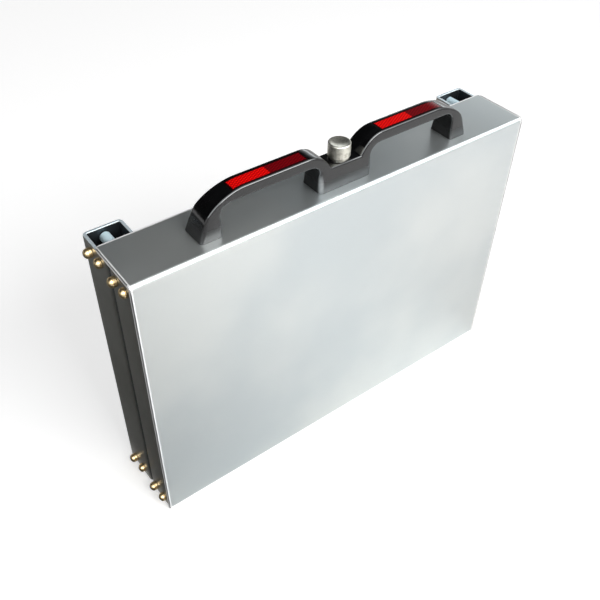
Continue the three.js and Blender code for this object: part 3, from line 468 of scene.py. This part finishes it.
# The painted shade along the groove: full near it, fading out between the two distances, and how
# much it darkens.
column_groove_shade_start, column_groove_shade_end, column_groove_shade = 0.0016, 0.0038, 0.85
column_roughness, column_sawn_roughness, column_shaded_roughness = 0.33, 0.2, 0.15
mill_cloud_scale, mill_cloud_range = 14.0, (0.35, 0.7)
mill_line_stretch, mill_line_scale, mill_line_roughness = (1, 1, 0.02), 1400.0, 0.1
mill_bump = 0.15, 0.0002
column_names = [
    "front_column_left", "front_column_right", "rear_column_left", "rear_column_right",
]


def rounded_loop(low, high, radius, inset):
    """A rectangle in plan with round corners, drawn in by an inset, as points in X and Y."""
    x0, y0 = low[0] + inset, low[1] + inset
    x1, y1 = high[0] - inset, high[1] - inset
    r = max(radius - inset, column_least_radius)
    corners = [
        (x1 - r, y1 - r, 0), (x0 + r, y1 - r, 90), (x0 + r, y0 + r, 180), (x1 - r, y0 + r, 270),
    ]
    return np.concatenate([arc((x, y), r, a, a + 90, column_corner_steps) for x, y, a in corners])


def level_ring(loop, height):
    return np.column_stack([loop, np.full(len(loop), height)])


def extruded_aluminium(name, metal, colour, patch_colour):
    """Extruded metal: a cloudy mill finish, and fine die lines along its length. It gives back
    the material, the colour and what the lines add to the roughness."""
    finish = Finish(name, Metallic=metal)
    clouds = finish.noise(finish.place(), mill_cloud_scale, detail=4.0)
    tone = finish.blended(clouds.ramp(*mill_cloud_range), colour, patch_colour)
    lines = finish.noise(finish.place(scale=mill_line_stretch), mill_line_scale)
    finish.bumped(lines, *mill_bump)
    return finish, tone, lines * mill_line_roughness


def tube_finish(rim_height):
    """The tube's own finish, with a brighter, rougher sawn rim, and painted shade, rougher too,
    on the walls of the hollow and along the groove between the front and rear tubes."""
    finish, tone, lines = extruded_aluminium("mill_column", 1.0, column_colour, column_patch_colour)
    sawn = finish.coordinate(2).ramp(
        rim_height - column_rim * column_sawn_start, rim_height - column_rim * column_sawn_end
    )
    inside = finish.node("Attribute", {"attribute_name": "inside"}, {}, output=2)
    # Painted shade: a dark line along the groove between the front and rear tubes, also rougher.
    groove = (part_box("front_column_left")[1].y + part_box("rear_column_left")[0].y) / 2
    away = (finish.coordinate(1) - groove).absolute()
    groove_shade = away.ramp(column_groove_shade_start, column_groove_shade_end, column_groove_shade, 0.0)
    tone = finish.blended(sawn, tone, column_sawn_colour)
    tone = finish.blended(groove_shade, tone, column_shade_colour)
    # Painted shade on the walls of the hollow, also rougher.
    tone = finish.blended(inside, tone, column_shade_colour)
    shaded_roughness = (inside + groove_shade) * column_shaded_roughness
    rough = column_roughness + lines + sawn * column_sawn_roughness + shaded_roughness
    finish.paint(Base_Color=tone, Roughness=rough)
    return finish.material


def columns():
    mill = tube_finish(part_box("rear_column_left")[1].z)
    wall = Vector((column_wall, column_wall, 0))
    for name in column_names:
        low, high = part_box(name)
        # The inner loop starts at the same corner as the outer one, so that the rings match.
        outer = [rounded_loop(low, high, column_radius, inset) for inset in (0, 0, column_rim)]
        inner = [rounded_loop(low + wall, high - wall, column_inner_radius, inset)
                 for inset in (-column_rim, 0, 0)]
        top, bottom = high.z, low.z
        heights = [bottom, top - column_rim, top, top, top - column_rim, bottom]
        rings = np.stack([level_ring(loop, z) for loop, z in zip(outer + inner, heights)])
        tube = skin(name.replace("column", "tube"), rings, joined_ends=True)
        # The last two rings lie on the hollow's wall, the others outside or on the rim.
        inside = np.repeat([0.0, 0.0, 0.0, 0.0, 1.0, 1.0], rings.shape[1])
        tube.data.attributes.new("inside", "FLOAT", "POINT").data.foreach_set("value", inside)
        wear(tube, mill, nodes=[name])


columns()


# Sixteen brass screws with domed heads hold the tie bars: at each tube end a long one behind
# a short one. Their heads are turned and polished, with a narrow neck under the dome.
dome_head = 0.0042
dome_height = 0.0034
dome_shank = 0.0025
dome_seat = 0.1994
dome_collar_edge = 0.0003
dome_neck = 0.0039
dome_neck_height = 0.0003
dome_radius = 0.00415
dome_sides = 40
dome_steps = 12
dome_sweep_degrees = 88
brass_colour = (0.70, 0.54, 0.31, 1.0)
brass_dull_colour = (0.56, 0.41, 0.22, 1.0)
brass_smear_scale, brass_smear_range = 330.0, (0.35, 0.75)
brass_mark_stretch, brass_mark_scale = (1, 0.05, 0.05), 2600.0
brass_roughness, brass_smear_roughness = 0.24, 0.12
brass_bump = 0.05, 0.0001


def turned(profile, axis_point, sides):
    """A profile of distance along X and radius, carried round an axis that runs along X."""
    angle = np.linspace(0, 2 * np.pi, sides, endpoint=False)
    rings = np.empty((len(profile), sides, 3))
    rings[:, :, 0] = profile[:, 0][:, None]
    rings[:, :, 1] = axis_point[0] + profile[:, 1][:, None] * np.cos(angle)
    rings[:, :, 2] = axis_point[1] + profile[:, 1][:, None] * np.sin(angle)
    return rings


def polished_brass():
    """Brass with a thin, uneven brown film and fine turning marks."""
    finish = Finish("polished_brass", Metallic=1.0)
    smear = finish.noise(finish.place(), brass_smear_scale)
    tone = finish.blended(smear.ramp(*brass_smear_range), brass_colour, brass_dull_colour)
    marks = finish.noise(finish.place(scale=brass_mark_stretch), brass_mark_scale, detail=1.0)
    finish.paint(Base_Color=tone, Roughness=brass_roughness + smear * brass_smear_roughness)
    finish.bumped(marks, *brass_bump)
    return finish.material


def dome_screws():
    brass = polished_brass()
    for name in [n for n in sorted(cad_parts) if n.startswith("dome_screw")]:
        low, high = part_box(name)
        side = -1 if "left" in name else 1
        root, tip = (high.x, low.x) if side < 0 else (low.x, high.x)
        shoulder = tip - side * dome_height
        seat = side * dome_seat
        angle = np.radians(np.linspace(0, dome_sweep_degrees, dome_steps))
        along, radius = shoulder + side * dome_height * np.sin(angle), dome_radius * np.cos(angle)
        shank = [(root, dome_shank), (seat, dome_shank), (seat, dome_head - dome_collar_edge)]
        collar = [
            (seat + side * dome_collar_edge, dome_head),
            (shoulder - side * (dome_neck_height + dome_collar_edge), dome_head),
            (shoulder - side * dome_neck_height, dome_head - dome_collar_edge),
            (shoulder - side * dome_neck_height, dome_neck),
            (shoulder - side * dome_collar_edge, dome_neck),
        ]
        profile = np.concatenate([shank, collar, np.column_stack([along, radius])])
        centre = ((low.y + high.y) / 2, (low.z + high.z) / 2)
        rings = turned(profile, centre, dome_sides)
        # On the left end the profile runs the other way, so the rings turn round to face outwards.
        if side < 0:
            rings = rings[:, ::-1]
        head = skin(name.replace("dome_screw", "brass_dome"), rings)
        wear(head, brass, nodes=[name])


dome_screws()


# The tie bars are round aluminium bars across the inside of the tubes, sawn off and chamfered.
# The brass screws come through the tube walls and hold them.
bar_sides = 40
bar_chamfer = 0.0008
# The bar's pale sky-blue colour is partly its own light metal and partly painted light, raised and
# tinted to make up for the shade inside the tube.
bar_painted_light_colour = (0.66, 0.86, 0.95, 1.0)
bar_painted_light_patch_colour = (0.74, 0.92, 0.98, 1.0)
bar_metal = 0.4
bar_roughness = 0.45


def tie_bars():
    # The painted light is in the bar's colour.
    finish, tone, lines = extruded_aluminium("bright_bar", bar_metal, bar_painted_light_colour, bar_painted_light_patch_colour)
    finish.paint(Base_Color=tone, Roughness=bar_roughness + lines)
    for name in [n for n in sorted(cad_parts) if "tie_bar" in n]:
        low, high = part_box(name)
        radius = (high.z - low.z) / 2
        profile = np.array([
            (low.y, radius - bar_chamfer), (low.y + bar_chamfer, radius),
            (high.y - bar_chamfer, radius), (high.y, radius - bar_chamfer),
        ])
        rings = turned(profile, ((low.x + high.x) / 2, (low.z + high.z) / 2), bar_sides)
        # The same turning, with X and Y exchanged, lays the bar along Y. That mirrors it, so the
        # rings turn round to face outwards.
        rings = rings[:, ::-1, [1, 0, 2]]
        bar = skin(name.replace("tie_bar", "cross_bar"), rings)
        wear(bar, finish.material, nodes=[name])


tie_bars()


# The handle is one black moulding: two arched grips joined by a lower bridge, with its faces
# leaning inwards and a flare at each foot. It is glossy, and its edges are rounded, more so
# down the corners of the middle block and of the feet, where a palm rubs.
handle_half = 0.1362
handle_rise = 0.036
handle_foot_lift = 0.0002
plinth_half = 0.1322
plinth_rise = 0.014
plinth_lip = 0.0015
grip_flat_start = 0.095
grip_flat_end = 0.037
bridge_half = 0.015
bridge_rise = 0.0208
gap_outer = 0.1173
gap_inner = 0.0265
gap_rise = 0.0265
gap_radius = 0.010
handle_depth = 0.025
handle_front = -0.0289
handle_front_lean = 0.0012
handle_back_lean = 0.006
handle_round = 0.0019
handle_round_steps = 7
handle_smooth_degrees = 40.0
block_round = 0.0042
block_margin, block_top_margin = 0.001, 0.0001
foot_round = 0.0032
foot_round_width, foot_round_rise = 0.004, 0.026
crown_steps = 36
gap_steps = 14
leg_steps = 8
least_spread = 0.5
deck_level = 0.278
bridge_bore = 0.0068
bridge_bore_below, bridge_bore_above = 0.01, 0.05
shoulder_run_shares = (0.086, 0.57)
shoulder_rise_shares = (0.52, 0.982)
dip_run_shares = (0.45, 0.77)
dip_rise_shares = (0.0, 0.41)


def cubic(points, steps):
    """A cubic curve through its end points, bent by the two between, at evenly spaced shares."""
    a, b, c, d = np.asarray(points, float)
    t = np.linspace(0, 1, steps + 1)[:, None]
    return a * (1 - t) ** 3 + 3 * b * t * (1 - t) ** 2 + 3 * c * t ** 2 * (1 - t) + d * t ** 3


def quadratic(points, steps):
    """A curve through its end points, bent by the one between, at evenly spaced shares."""
    a, b, c = np.asarray(points, float)
    t = np.linspace(0, 1, steps + 1)[:, None]
    return a * (1 - t) ** 2 + 2 * b * t * (1 - t) + c * t ** 2


def crown_half():
    """The top of the right half, from the middle of the bridge out to the foot."""
    run, drop = grip_flat_end - bridge_half, handle_rise - bridge_rise
    reach, climb = plinth_half - grip_flat_start, handle_rise - plinth_rise
    dip = cubic([
        (bridge_half, bridge_rise),
        (grip_flat_end - dip_run_shares[1] * run, handle_rise - dip_rise_shares[1] * drop),
        (grip_flat_end - dip_run_shares[0] * run, handle_rise - dip_rise_shares[0] * drop),
        (grip_flat_end, handle_rise),
    ], crown_steps)
    flat = np.linspace(dip[-1], (grip_flat_start, handle_rise), crown_steps)[1:-1]
    out, up = shoulder_run_shares, shoulder_rise_shares
    shoulder = cubic([
        (grip_flat_start, handle_rise),
        (plinth_half - out[1] * reach, plinth_rise + up[1] * climb),
        (plinth_half - out[0] * reach, plinth_rise + up[0] * climb),
        (plinth_half, plinth_rise),
    ], crown_steps)
    flare = np.linspace((plinth_half, plinth_rise), (handle_half, plinth_lip), leg_steps)[1:]
    return np.concatenate([dip, flat, shoulder, flare, [(handle_half, handle_foot_lift)]])


def gap_half():
    """The finger gap of the right half, from the outer foot up, over and down to the block."""
    start, side = gap_rise - gap_radius, gap_radius
    outer = quadratic(
        [(gap_outer, start), (gap_outer, gap_rise), (gap_outer - side, gap_rise)], gap_steps
    )
    inner = quadratic(
        [(gap_inner + side, gap_rise), (gap_inner, gap_rise), (gap_inner, start)], gap_steps
    )
    outer_leg = np.linspace((gap_outer, handle_foot_lift), outer[0], leg_steps)[:-1]
    inner_leg = np.linspace(inner[-1], (gap_inner, handle_foot_lift), leg_steps)[1:]
    return np.concatenate([outer_leg, outer, inner, inner_leg])


def handle_outline():
    """The whole side view as one closed loop in X and Z, clockwise from the bridge's middle."""
    crown, gap = crown_half(), gap_half()
    mirror = np.array([-1.0, 1.0])
    return np.concatenate([crown, gap, (gap * mirror)[::-1], (crown * mirror)[::-1]])


def eased(value, start, end):
    """0 before the start and 1 after the end, with a smooth cubic step between."""
    share = np.clip((value - start) / (end - start), 0.0, 1.0)
    return share * share * (3 - 2 * share)


def edge_rounding(loop):
    """How far each point of the side view is rounded off: the plain radius, raised by smooth
    steps down the middle block's corners and towards the outside of each foot."""
    across, rise = np.abs(loop[:, 0]), loop[:, 1]
    by_block = (across > gap_inner - block_margin) & (across < gap_inner + gap_radius)
    by_block &= rise < gap_rise + block_top_margin
    at_block = by_block * eased(-rise, -gap_rise, -gap_rise + gap_radius)
    by_foot = across > plinth_half - foot_round_width
    at_foot = by_foot * eased(-rise, -foot_round_rise, -plinth_rise)
    more_at_block, more_at_foot = block_round - handle_round, foot_round - handle_round
    return handle_round + more_at_block * at_block + more_at_foot * at_foot


def drawn_in(loop, distance):
    """A closed loop moved inwards by distances along its corner normals, square ends kept."""
    before, after = np.roll(loop, 1, axis=0), np.roll(loop, -1, axis=0)
    into, out = loop - before, after - loop
    into /= np.linalg.norm(into, axis=1, keepdims=True)
    out /= np.linalg.norm(out, axis=1, keepdims=True)
    normal = np.column_stack([(into + out)[:, 1], -(into + out)[:, 0]])
    normal /= np.linalg.norm(normal, axis=1, keepdims=True)
    spread = np.clip(normal[:, 0] * out[:, 1] - normal[:, 1] * out[:, 0], least_spread, 1.0)
    moved = loop + normal * (distance / spread)[:, None]
    moved[:, 1] = np.where(loop[:, 1] < plinth_lip / 2, handle_foot_lift, moved[:, 1])
    return moved


def handle_rings(loop):
    """The outline carried from the front face to the back one, drawn in round both edges."""
    angle = np.radians(np.linspace(0, 90, handle_round_steps + 1))
    radius = edge_rounding(loop)
    rings = np.empty((2, len(angle), len(loop), 3))
    for i, turn in enumerate(angle):
        ring = drawn_in(loop, radius * (1 - np.sin(turn)))
        back = radius * (1 - np.cos(turn))
        rise = ring[:, 1] / handle_rise
        rings[:, i, :, 0] = ring[:, 0]
        rings[0, i, :, 1] = handle_front + back + handle_front_lean * rise
        rings[1, i, :, 1] = handle_front + handle_depth - back - handle_back_lean * rise
        rings[:, i, :, 2] = deck_level + ring[:, 1]
    return np.concatenate([rings[0], rings[1, ::-1]])


# The black plastic's look: nearly black, dusty in smears, dull near the deck, and a pale painted
# highlight in a small upright patch. Heights are above the deck.
moulding_colour = (0.0020, 0.0020, 0.0024, 1)
moulding_dust_colour = (0.0050, 0.0050, 0.0056, 1)
# The pale colour of the painted highlight.
moulding_highlight_colour = (0.42, 0.44, 0.45, 1)
moulding_mirror = 0.64
moulding_stretch = (0.5, 1, 1)
moulding_wave_scale = 120.0
moulding_wave_bump = 0.2, 0.0008
moulding_smear_scale, moulding_dust_range = 60.0, (0.45, 0.8)
moulding_roughness, moulding_smear_roughness = 0.09, 0.10
moulding_dull_low, moulding_dull_high, moulding_dull_roughness = 0.004, 0.018, 0.22
# The painted highlight: its height above the deck and stretch, where it starts to fade and where it
# is gone, and how the smears break it up.
highlight_height, highlight_stretch = 0.007, (1, 1, 0.3)
highlight_start, highlight_end, highlight_smear = 0.0015, 0.0045, (0.3, 0.7, 0.5, 1.0)


def black_moulding():
    """Moulded plastic: a glossy, faintly wavy skin with smears and dust, and a pale painted
    highlight on the front corner of the middle block."""
    finish = Finish("black_moulding", Metallic=0.0, Specular_IOR_Level=moulding_mirror)
    waves = finish.noise(finish.place(scale=moulding_stretch), moulding_wave_scale, detail=1.0)
    smear = finish.noise(finish.place(scale=moulding_stretch), moulding_smear_scale, detail=4.0)
    dusty = smear.ramp(*moulding_dust_range)
    tone = finish.blended(dusty, moulding_colour, moulding_dust_colour)
    # Painted highlight: a pale upright patch on the front left corner of the middle block, broken up
    # by the smears.
    highlight_centre = (-gap_inner, handle_front, deck_level + highlight_height)
    away = finish.length(finish.place(centre=highlight_centre, scale=highlight_stretch))
    painted_highlight = away.ramp(highlight_start, highlight_end, 1.0, 0.0) * smear.ramp(*highlight_smear)
    dull = finish.coordinate(2).ramp(
        deck_level + moulding_dull_low, deck_level + moulding_dull_high,
        moulding_dull_roughness, 0.0,
    )
    rough = moulding_roughness + smear * moulding_smear_roughness + dull
    finish.paint(Base_Color=finish.blended(painted_highlight, tone, moulding_highlight_colour), Roughness=rough)
    finish.bumped(waves, *moulding_wave_bump)
    return finish.material


# The bed of a reflector, which the handle is cut for and the reflector fills but for a gap.
lens_setback = 0.002
lens_width = 0.0125
lens_outer_wrap = 0.010
lens_stations = 60
lens_bed_gap = 0.0003
lens_bed_depth = 0.0022
lens_bed_open = 4


def lens_band(name, side, grow, depth):
    """The band under the crown where a reflector lies, as a solid: top line, then bottom line.
    A band that is grown all round, as a cutter is, also stands above the crown."""
    inner, outer = grip_flat_end - grow, grip_flat_start + lens_outer_wrap + grow
    crown = crown_half()
    x = np.linspace(inner, outer, lens_stations)
    top = np.column_stack([x, np.interp(x, crown[:, 0], crown[:, 1])])
    low = top[::-1] - np.array([0.0, depth])
    raised = top + np.array([0.0, grow * lens_bed_open])
    loop = np.concatenate([raised, low]) * np.array([side, 1.0])
    front = handle_front + handle_front_lean + lens_setback - grow
    rings = np.empty((2, len(loop), 3))
    rings[:, :, 0] = loop[:, 0]
    rings[:, :, 2] = deck_level + loop[:, 1]
    rings[0, :, 1], rings[1, :, 1] = front, front + lens_width + 2 * grow
    if side < 0:
        rings = rings[:, ::-1]
    return skin(name, rings)


def carrying_handle():
    rings = handle_rings(handle_outline())
    moulding = skin("grip_moulding", rings, smooth_degrees=handle_smooth_degrees)
    below, above = deck_level - bridge_bore_below, deck_level + bridge_bore_above
    cutters = [upright_rod("bore", bridge_bore, below, above, lock_x, lock_y)]
    cutters += [lens_band("band", side, lens_bed_gap, lens_bed_depth) for side in (-1, 1)]
    drilled(moulding, cutters)
    moulding.data.shade_smooth()
    moulding.data.set_sharp_from_angle(angle=math.radians(handle_smooth_degrees))
    wear(moulding, black_moulding(), nodes=["handle"])


carrying_handle()


# The reflectors are clear red strips let into the tops of the grips. Behind each lie two
# panes of small prisms: the light thrown back by one is painted in as a bright glowing red, and the
# other is painted dark.
lens_depth = 0.002
lens_edge = 0.00035
prism_pitch = 0.0012
prism_slant = 0.55
prism_bump = 0.1, 0.0002
pane_seam = 0.0006
lens_border_start, lens_border_end = 0.0016, 0.0010
# Painted light: the colours of the bright and the dark pane, from the bottom of a prism row to its
# ridge, and the painted glow of the bright pane.
lens_painted_lit_colours = (0.34, 0.001, 0.001, 1), (1.0, 0.006, 0.005, 1)
lens_painted_dim_colours = (0.095, 0.001, 0.003, 1), (0.30, 0.002, 0.006, 1)
lens_border_colour = (0.018, 0.001, 0.002, 1)
lens_roughness = 0.16
lens_ior = 1.1
lens_painted_glow = 0.30


def red_lens(name, middle, half_length):
    """Two panes along X, both netted with slanting prism rows: the value falls to the middle of
    each row and rises to its ridges. The left pane is painted bright and made to glow, and the right
    one is painted dark."""
    finish = Finish(name, Roughness=lens_roughness, IOR=lens_ior, Emission_Strength=lens_painted_glow)
    here = finish.place(centre=middle)
    x, y = finish.coordinate(0, here), finish.coordinate(1, here)
    rising = (x + y * prism_slant).zigzag(prism_pitch)
    falling = (y - x * prism_slant).zigzag(prism_pitch)
    prisms = (rising * falling / (prism_pitch * prism_pitch)).clamped()
    bright = 1 - x.ramp(-pane_seam, pane_seam)
    half_width = lens_width / 2
    ends = x.absolute().ramp(half_length - lens_border_start, half_length - lens_border_end)
    sides = y.absolute().ramp(half_width - lens_border_start, half_width - lens_border_end)
    border = ends.larger(sides)
    lit = finish.blended(prisms, *lens_painted_lit_colours)
    panes = finish.blended(bright, finish.blended(prisms, *lens_painted_dim_colours), lit)
    finish.paint(Base_Color=finish.blended(border, panes, lens_border_colour))
    # Painted light: the bright pane, inside its border, glows with its lit colour.
    finish.paint(Emission_Color=finish.blended(bright * (1 - border), (0, 0, 0, 1), lit))
    finish.bumped(prisms, *prism_bump)
    return finish.material


def reflectors():
    for name, side in (("reflector_left", -1), ("reflector_right", 1)):
        low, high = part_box(name)
        strip = lens_band(name + "_strip", side, 0.0, lens_depth)
        softened(strip, lens_edge, segments=2, degrees=50.0)
        middle = ((low.x + high.x) / 2, (low.y + high.y) / 2, high.z)
        red = red_lens(name + "_red", middle, (high.x - low.x) / 2)
        wear(strip, red, nodes=[name])


reflectors()


# The knob of the lock is turned from nickel-plated metal: a finely fluted side, a rim, and a
# shallow dish on top. It turns with the spindle below it, in the barrel's flange.
knob_low, knob_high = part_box("lock_knob")
knob_radius = 0.0094
knob_rim = 0.0016
knob_dish = 0.0011
knob_dish_points, knob_dish_end = 9, 0.97
knob_edge = 0.0008
knob_edge_steps = 5
knob_side_points = 9
knob_bore, knob_bore_middle = 0.0037, 0.000185
knob_socket = 0.0075
knob_flutes = 52
knob_flute_depth = 0.00012
knob_flute_bottom, knob_flute_top = 0.0015, 0.0012
knob_side_margin = 0.0001
knob_sides = 416
nickel_colour = (0.68, 0.66, 0.585, 1.0)
nickel_dull_colour = (0.46, 0.44, 0.38, 1.0)
nickel_mottle_scale, nickel_mottle_range = 300.0, (0.4, 0.7)
nickel_mark_scale = 4200.0
nickel_roughness, nickel_mottle_roughness = 0.26, 0.14
nickel_bump = 0.2, 0.0002


def satin_nickel(name):
    """Plated metal: slightly mottled, with fine turning marks round the axis."""
    finish = Finish(name, Metallic=1.0)
    axis_point = (lock_x, lock_y, 0)
    here = finish.place(centre=axis_point)
    mottle = finish.noise(here, nickel_mottle_scale, detail=3.0)
    reach = finish.length(finish.place(centre=axis_point, scale=(1, 1, 0)))
    unrolled = finish.node("CombineXYZ", {}, {0: reach, 1: finish.coordinate(2, here)})
    marks = finish.noise(unrolled, nickel_mark_scale, detail=1.0)
    tone = finish.blended(mottle.ramp(*nickel_mottle_range), nickel_colour, nickel_dull_colour)
    finish.paint(Base_Color=tone, Roughness=nickel_roughness + mottle * nickel_mottle_roughness)
    finish.bumped((marks + mottle) * 0.5, *nickel_bump)
    return finish.material


def fluted(profile, flute_low, flute_high):
    """A profile of radius and height carried round Z. Between two heights the radius dips by a
    raised cosine of the angle, so that fine upright flutes run round the side."""
    angle = np.linspace(0, 2 * np.pi, knob_sides, endpoint=False)
    radius, height = profile[:, 0][:, None], profile[:, 1][:, None]
    on_side = radius > knob_radius - knob_side_margin
    there = (height > flute_low) & (height < flute_high) & on_side
    dip = knob_flute_depth * (0.5 - 0.5 * np.cos(knob_flutes * angle))[None] * there
    rings = np.empty((len(profile), knob_sides, 3))
    rings[:, :, 0] = lock_x + (radius - dip) * np.cos(angle)
    rings[:, :, 1] = lock_y + (radius - dip) * np.sin(angle)
    rings[:, :, 2] = height
    return rings


def lock_knob():
    bottom, top = knob_low.z, knob_high.z
    socket = bottom + knob_socket
    bore = [(knob_bore_middle, socket), (knob_bore, socket), (knob_bore, bottom)]
    base = [(knob_radius - knob_edge, bottom)]
    heights = np.linspace(bottom + knob_edge, top - knob_edge, knob_side_points)
    side = [(knob_radius, z) for z in heights]
    edge_centre = (knob_radius - knob_edge, top - knob_edge)
    edge = arc(edge_centre, knob_edge, 0, 90, knob_edge_steps)[1:]
    share = 1 - np.linspace(0, knob_dish_end, knob_dish_points)
    dish = np.column_stack([(knob_radius - knob_rim) * share, top - knob_dish * (1 - share ** 2)])
    profile = np.concatenate([bore, base, side, edge, dish])
    knob = skin("turned_knob", fluted(profile, bottom + knob_flute_bottom, top - knob_flute_top))
    nickel = satin_nickel("satin_nickel")
    wear(knob, nickel, nodes=["lock_knob"], body="lock")


lock_knob()


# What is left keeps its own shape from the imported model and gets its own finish: the folded
# back panel and tray, feet and pads, the lock's other pieces, the sockets and the battery.
moulding_tone_scale, moulding_tone_range = 25.0, (0.35, 0.7)
moulding_grain_roughness = 0.12
moulding_grain_bump = 0.2, 0.0002
plate_mottle_scale, plate_mottle_range = 260.0, (0.4, 0.65)
plate_roughness, plate_mottle_roughness = 0.3, 0.15
plate_bump = 0.08, 0.0001


def plain_moulding(name, colour, other, roughness, grain):
    """Moulded plastic or rubber with a fine grain and a faint change of tone."""
    finish = Finish(name)
    clouds = finish.noise(finish.place(), moulding_tone_scale, detail=3.0)
    speckle = finish.noise(finish.place(), grain)
    tone = finish.blended(clouds.ramp(*moulding_tone_range), (*colour, 1), (*other, 1))
    finish.paint(Base_Color=tone, Roughness=roughness + speckle * moulding_grain_roughness)
    finish.bumped(speckle, *moulding_grain_bump)
    return finish.material


def plated_metal(name, colour, other):
    """Plated or rolled metal with a soft crystalline mottle."""
    finish = Finish(name, Metallic=1.0)
    mottle = finish.noise(finish.place(), plate_mottle_scale, detail=3.0)
    tone = finish.blended(mottle.ramp(*plate_mottle_range), (*colour, 1), (*other, 1))
    finish.paint(Base_Color=tone, Roughness=plate_roughness + mottle * plate_mottle_roughness)
    finish.bumped(mottle, *plate_bump)
    return finish.material


def dress(prefixes, material):
    """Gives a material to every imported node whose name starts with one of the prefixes."""
    for name in sorted(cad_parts):
        if name.startswith(tuple(prefixes)):
            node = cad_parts[name]
            node.data.materials.clear()
            node.data.materials.append(material)


dress(["back_panel", "bottom_tray"], satin_aluminium("satin_back"))
dress(["lock_barrel"], satin_nickel("satin_nickel_barrel"))
# Each moulding: its two colours, its roughness, the scale of its grain, and its nodes.
mouldings = {
    "foot_rubber": (
        (0.016, 0.016, 0.017), (0.026, 0.026, 0.027), 0.7, 1500.0, ["foot_", "deck_pad"]),
    "socket_black": (
        (0.014, 0.014, 0.016), (0.02, 0.02, 0.022), 0.4, 900.0,
        ["power_socket", "charge_socket", "fuse_holder"]),
    "frame_grey": ((0.03, 0.035, 0.04), (0.04, 0.045, 0.05), 0.5, 800.0, ["cell_frame"]),
    "foam_grey": ((0.045, 0.046, 0.048), (0.06, 0.06, 0.062), 0.85, 2200.0, ["foam_"]),
    "board_green": ((0.012, 0.09, 0.035), (0.016, 0.11, 0.045), 0.35, 700.0, ["protection_board"]),
    "lead_red": ((0.45, 0.012, 0.01), (0.5, 0.016, 0.012), 0.4, 900.0, ["positive_lead"]),
    "lead_black": ((0.012, 0.012, 0.013), (0.018, 0.018, 0.02), 0.4, 900.0, ["negative_lead"]),
}
for name, (colour, other, roughness, grain, prefixes) in mouldings.items():
    dress(prefixes, plain_moulding(name, colour, other, roughness, grain))
# Each plated metal: its two colours and its nodes.
metals = {
    "zinc_plate": (
        (0.52, 0.54, 0.56), (0.42, 0.44, 0.46),
        ["handle_screw", "lock_nut", "cam_nut", "lock_cam", "lock_spindle"]),
    "pouch_foil": ((0.60, 0.61, 0.62), (0.50, 0.51, 0.52), ["cell_module"]),
    "sink_aluminium": ((0.5, 0.51, 0.52), (0.56, 0.57, 0.58), ["heat_sink"]),
}
for name, (colour, other, prefixes) in metals.items():
    dress(prefixes, plated_metal(name, colour, other))
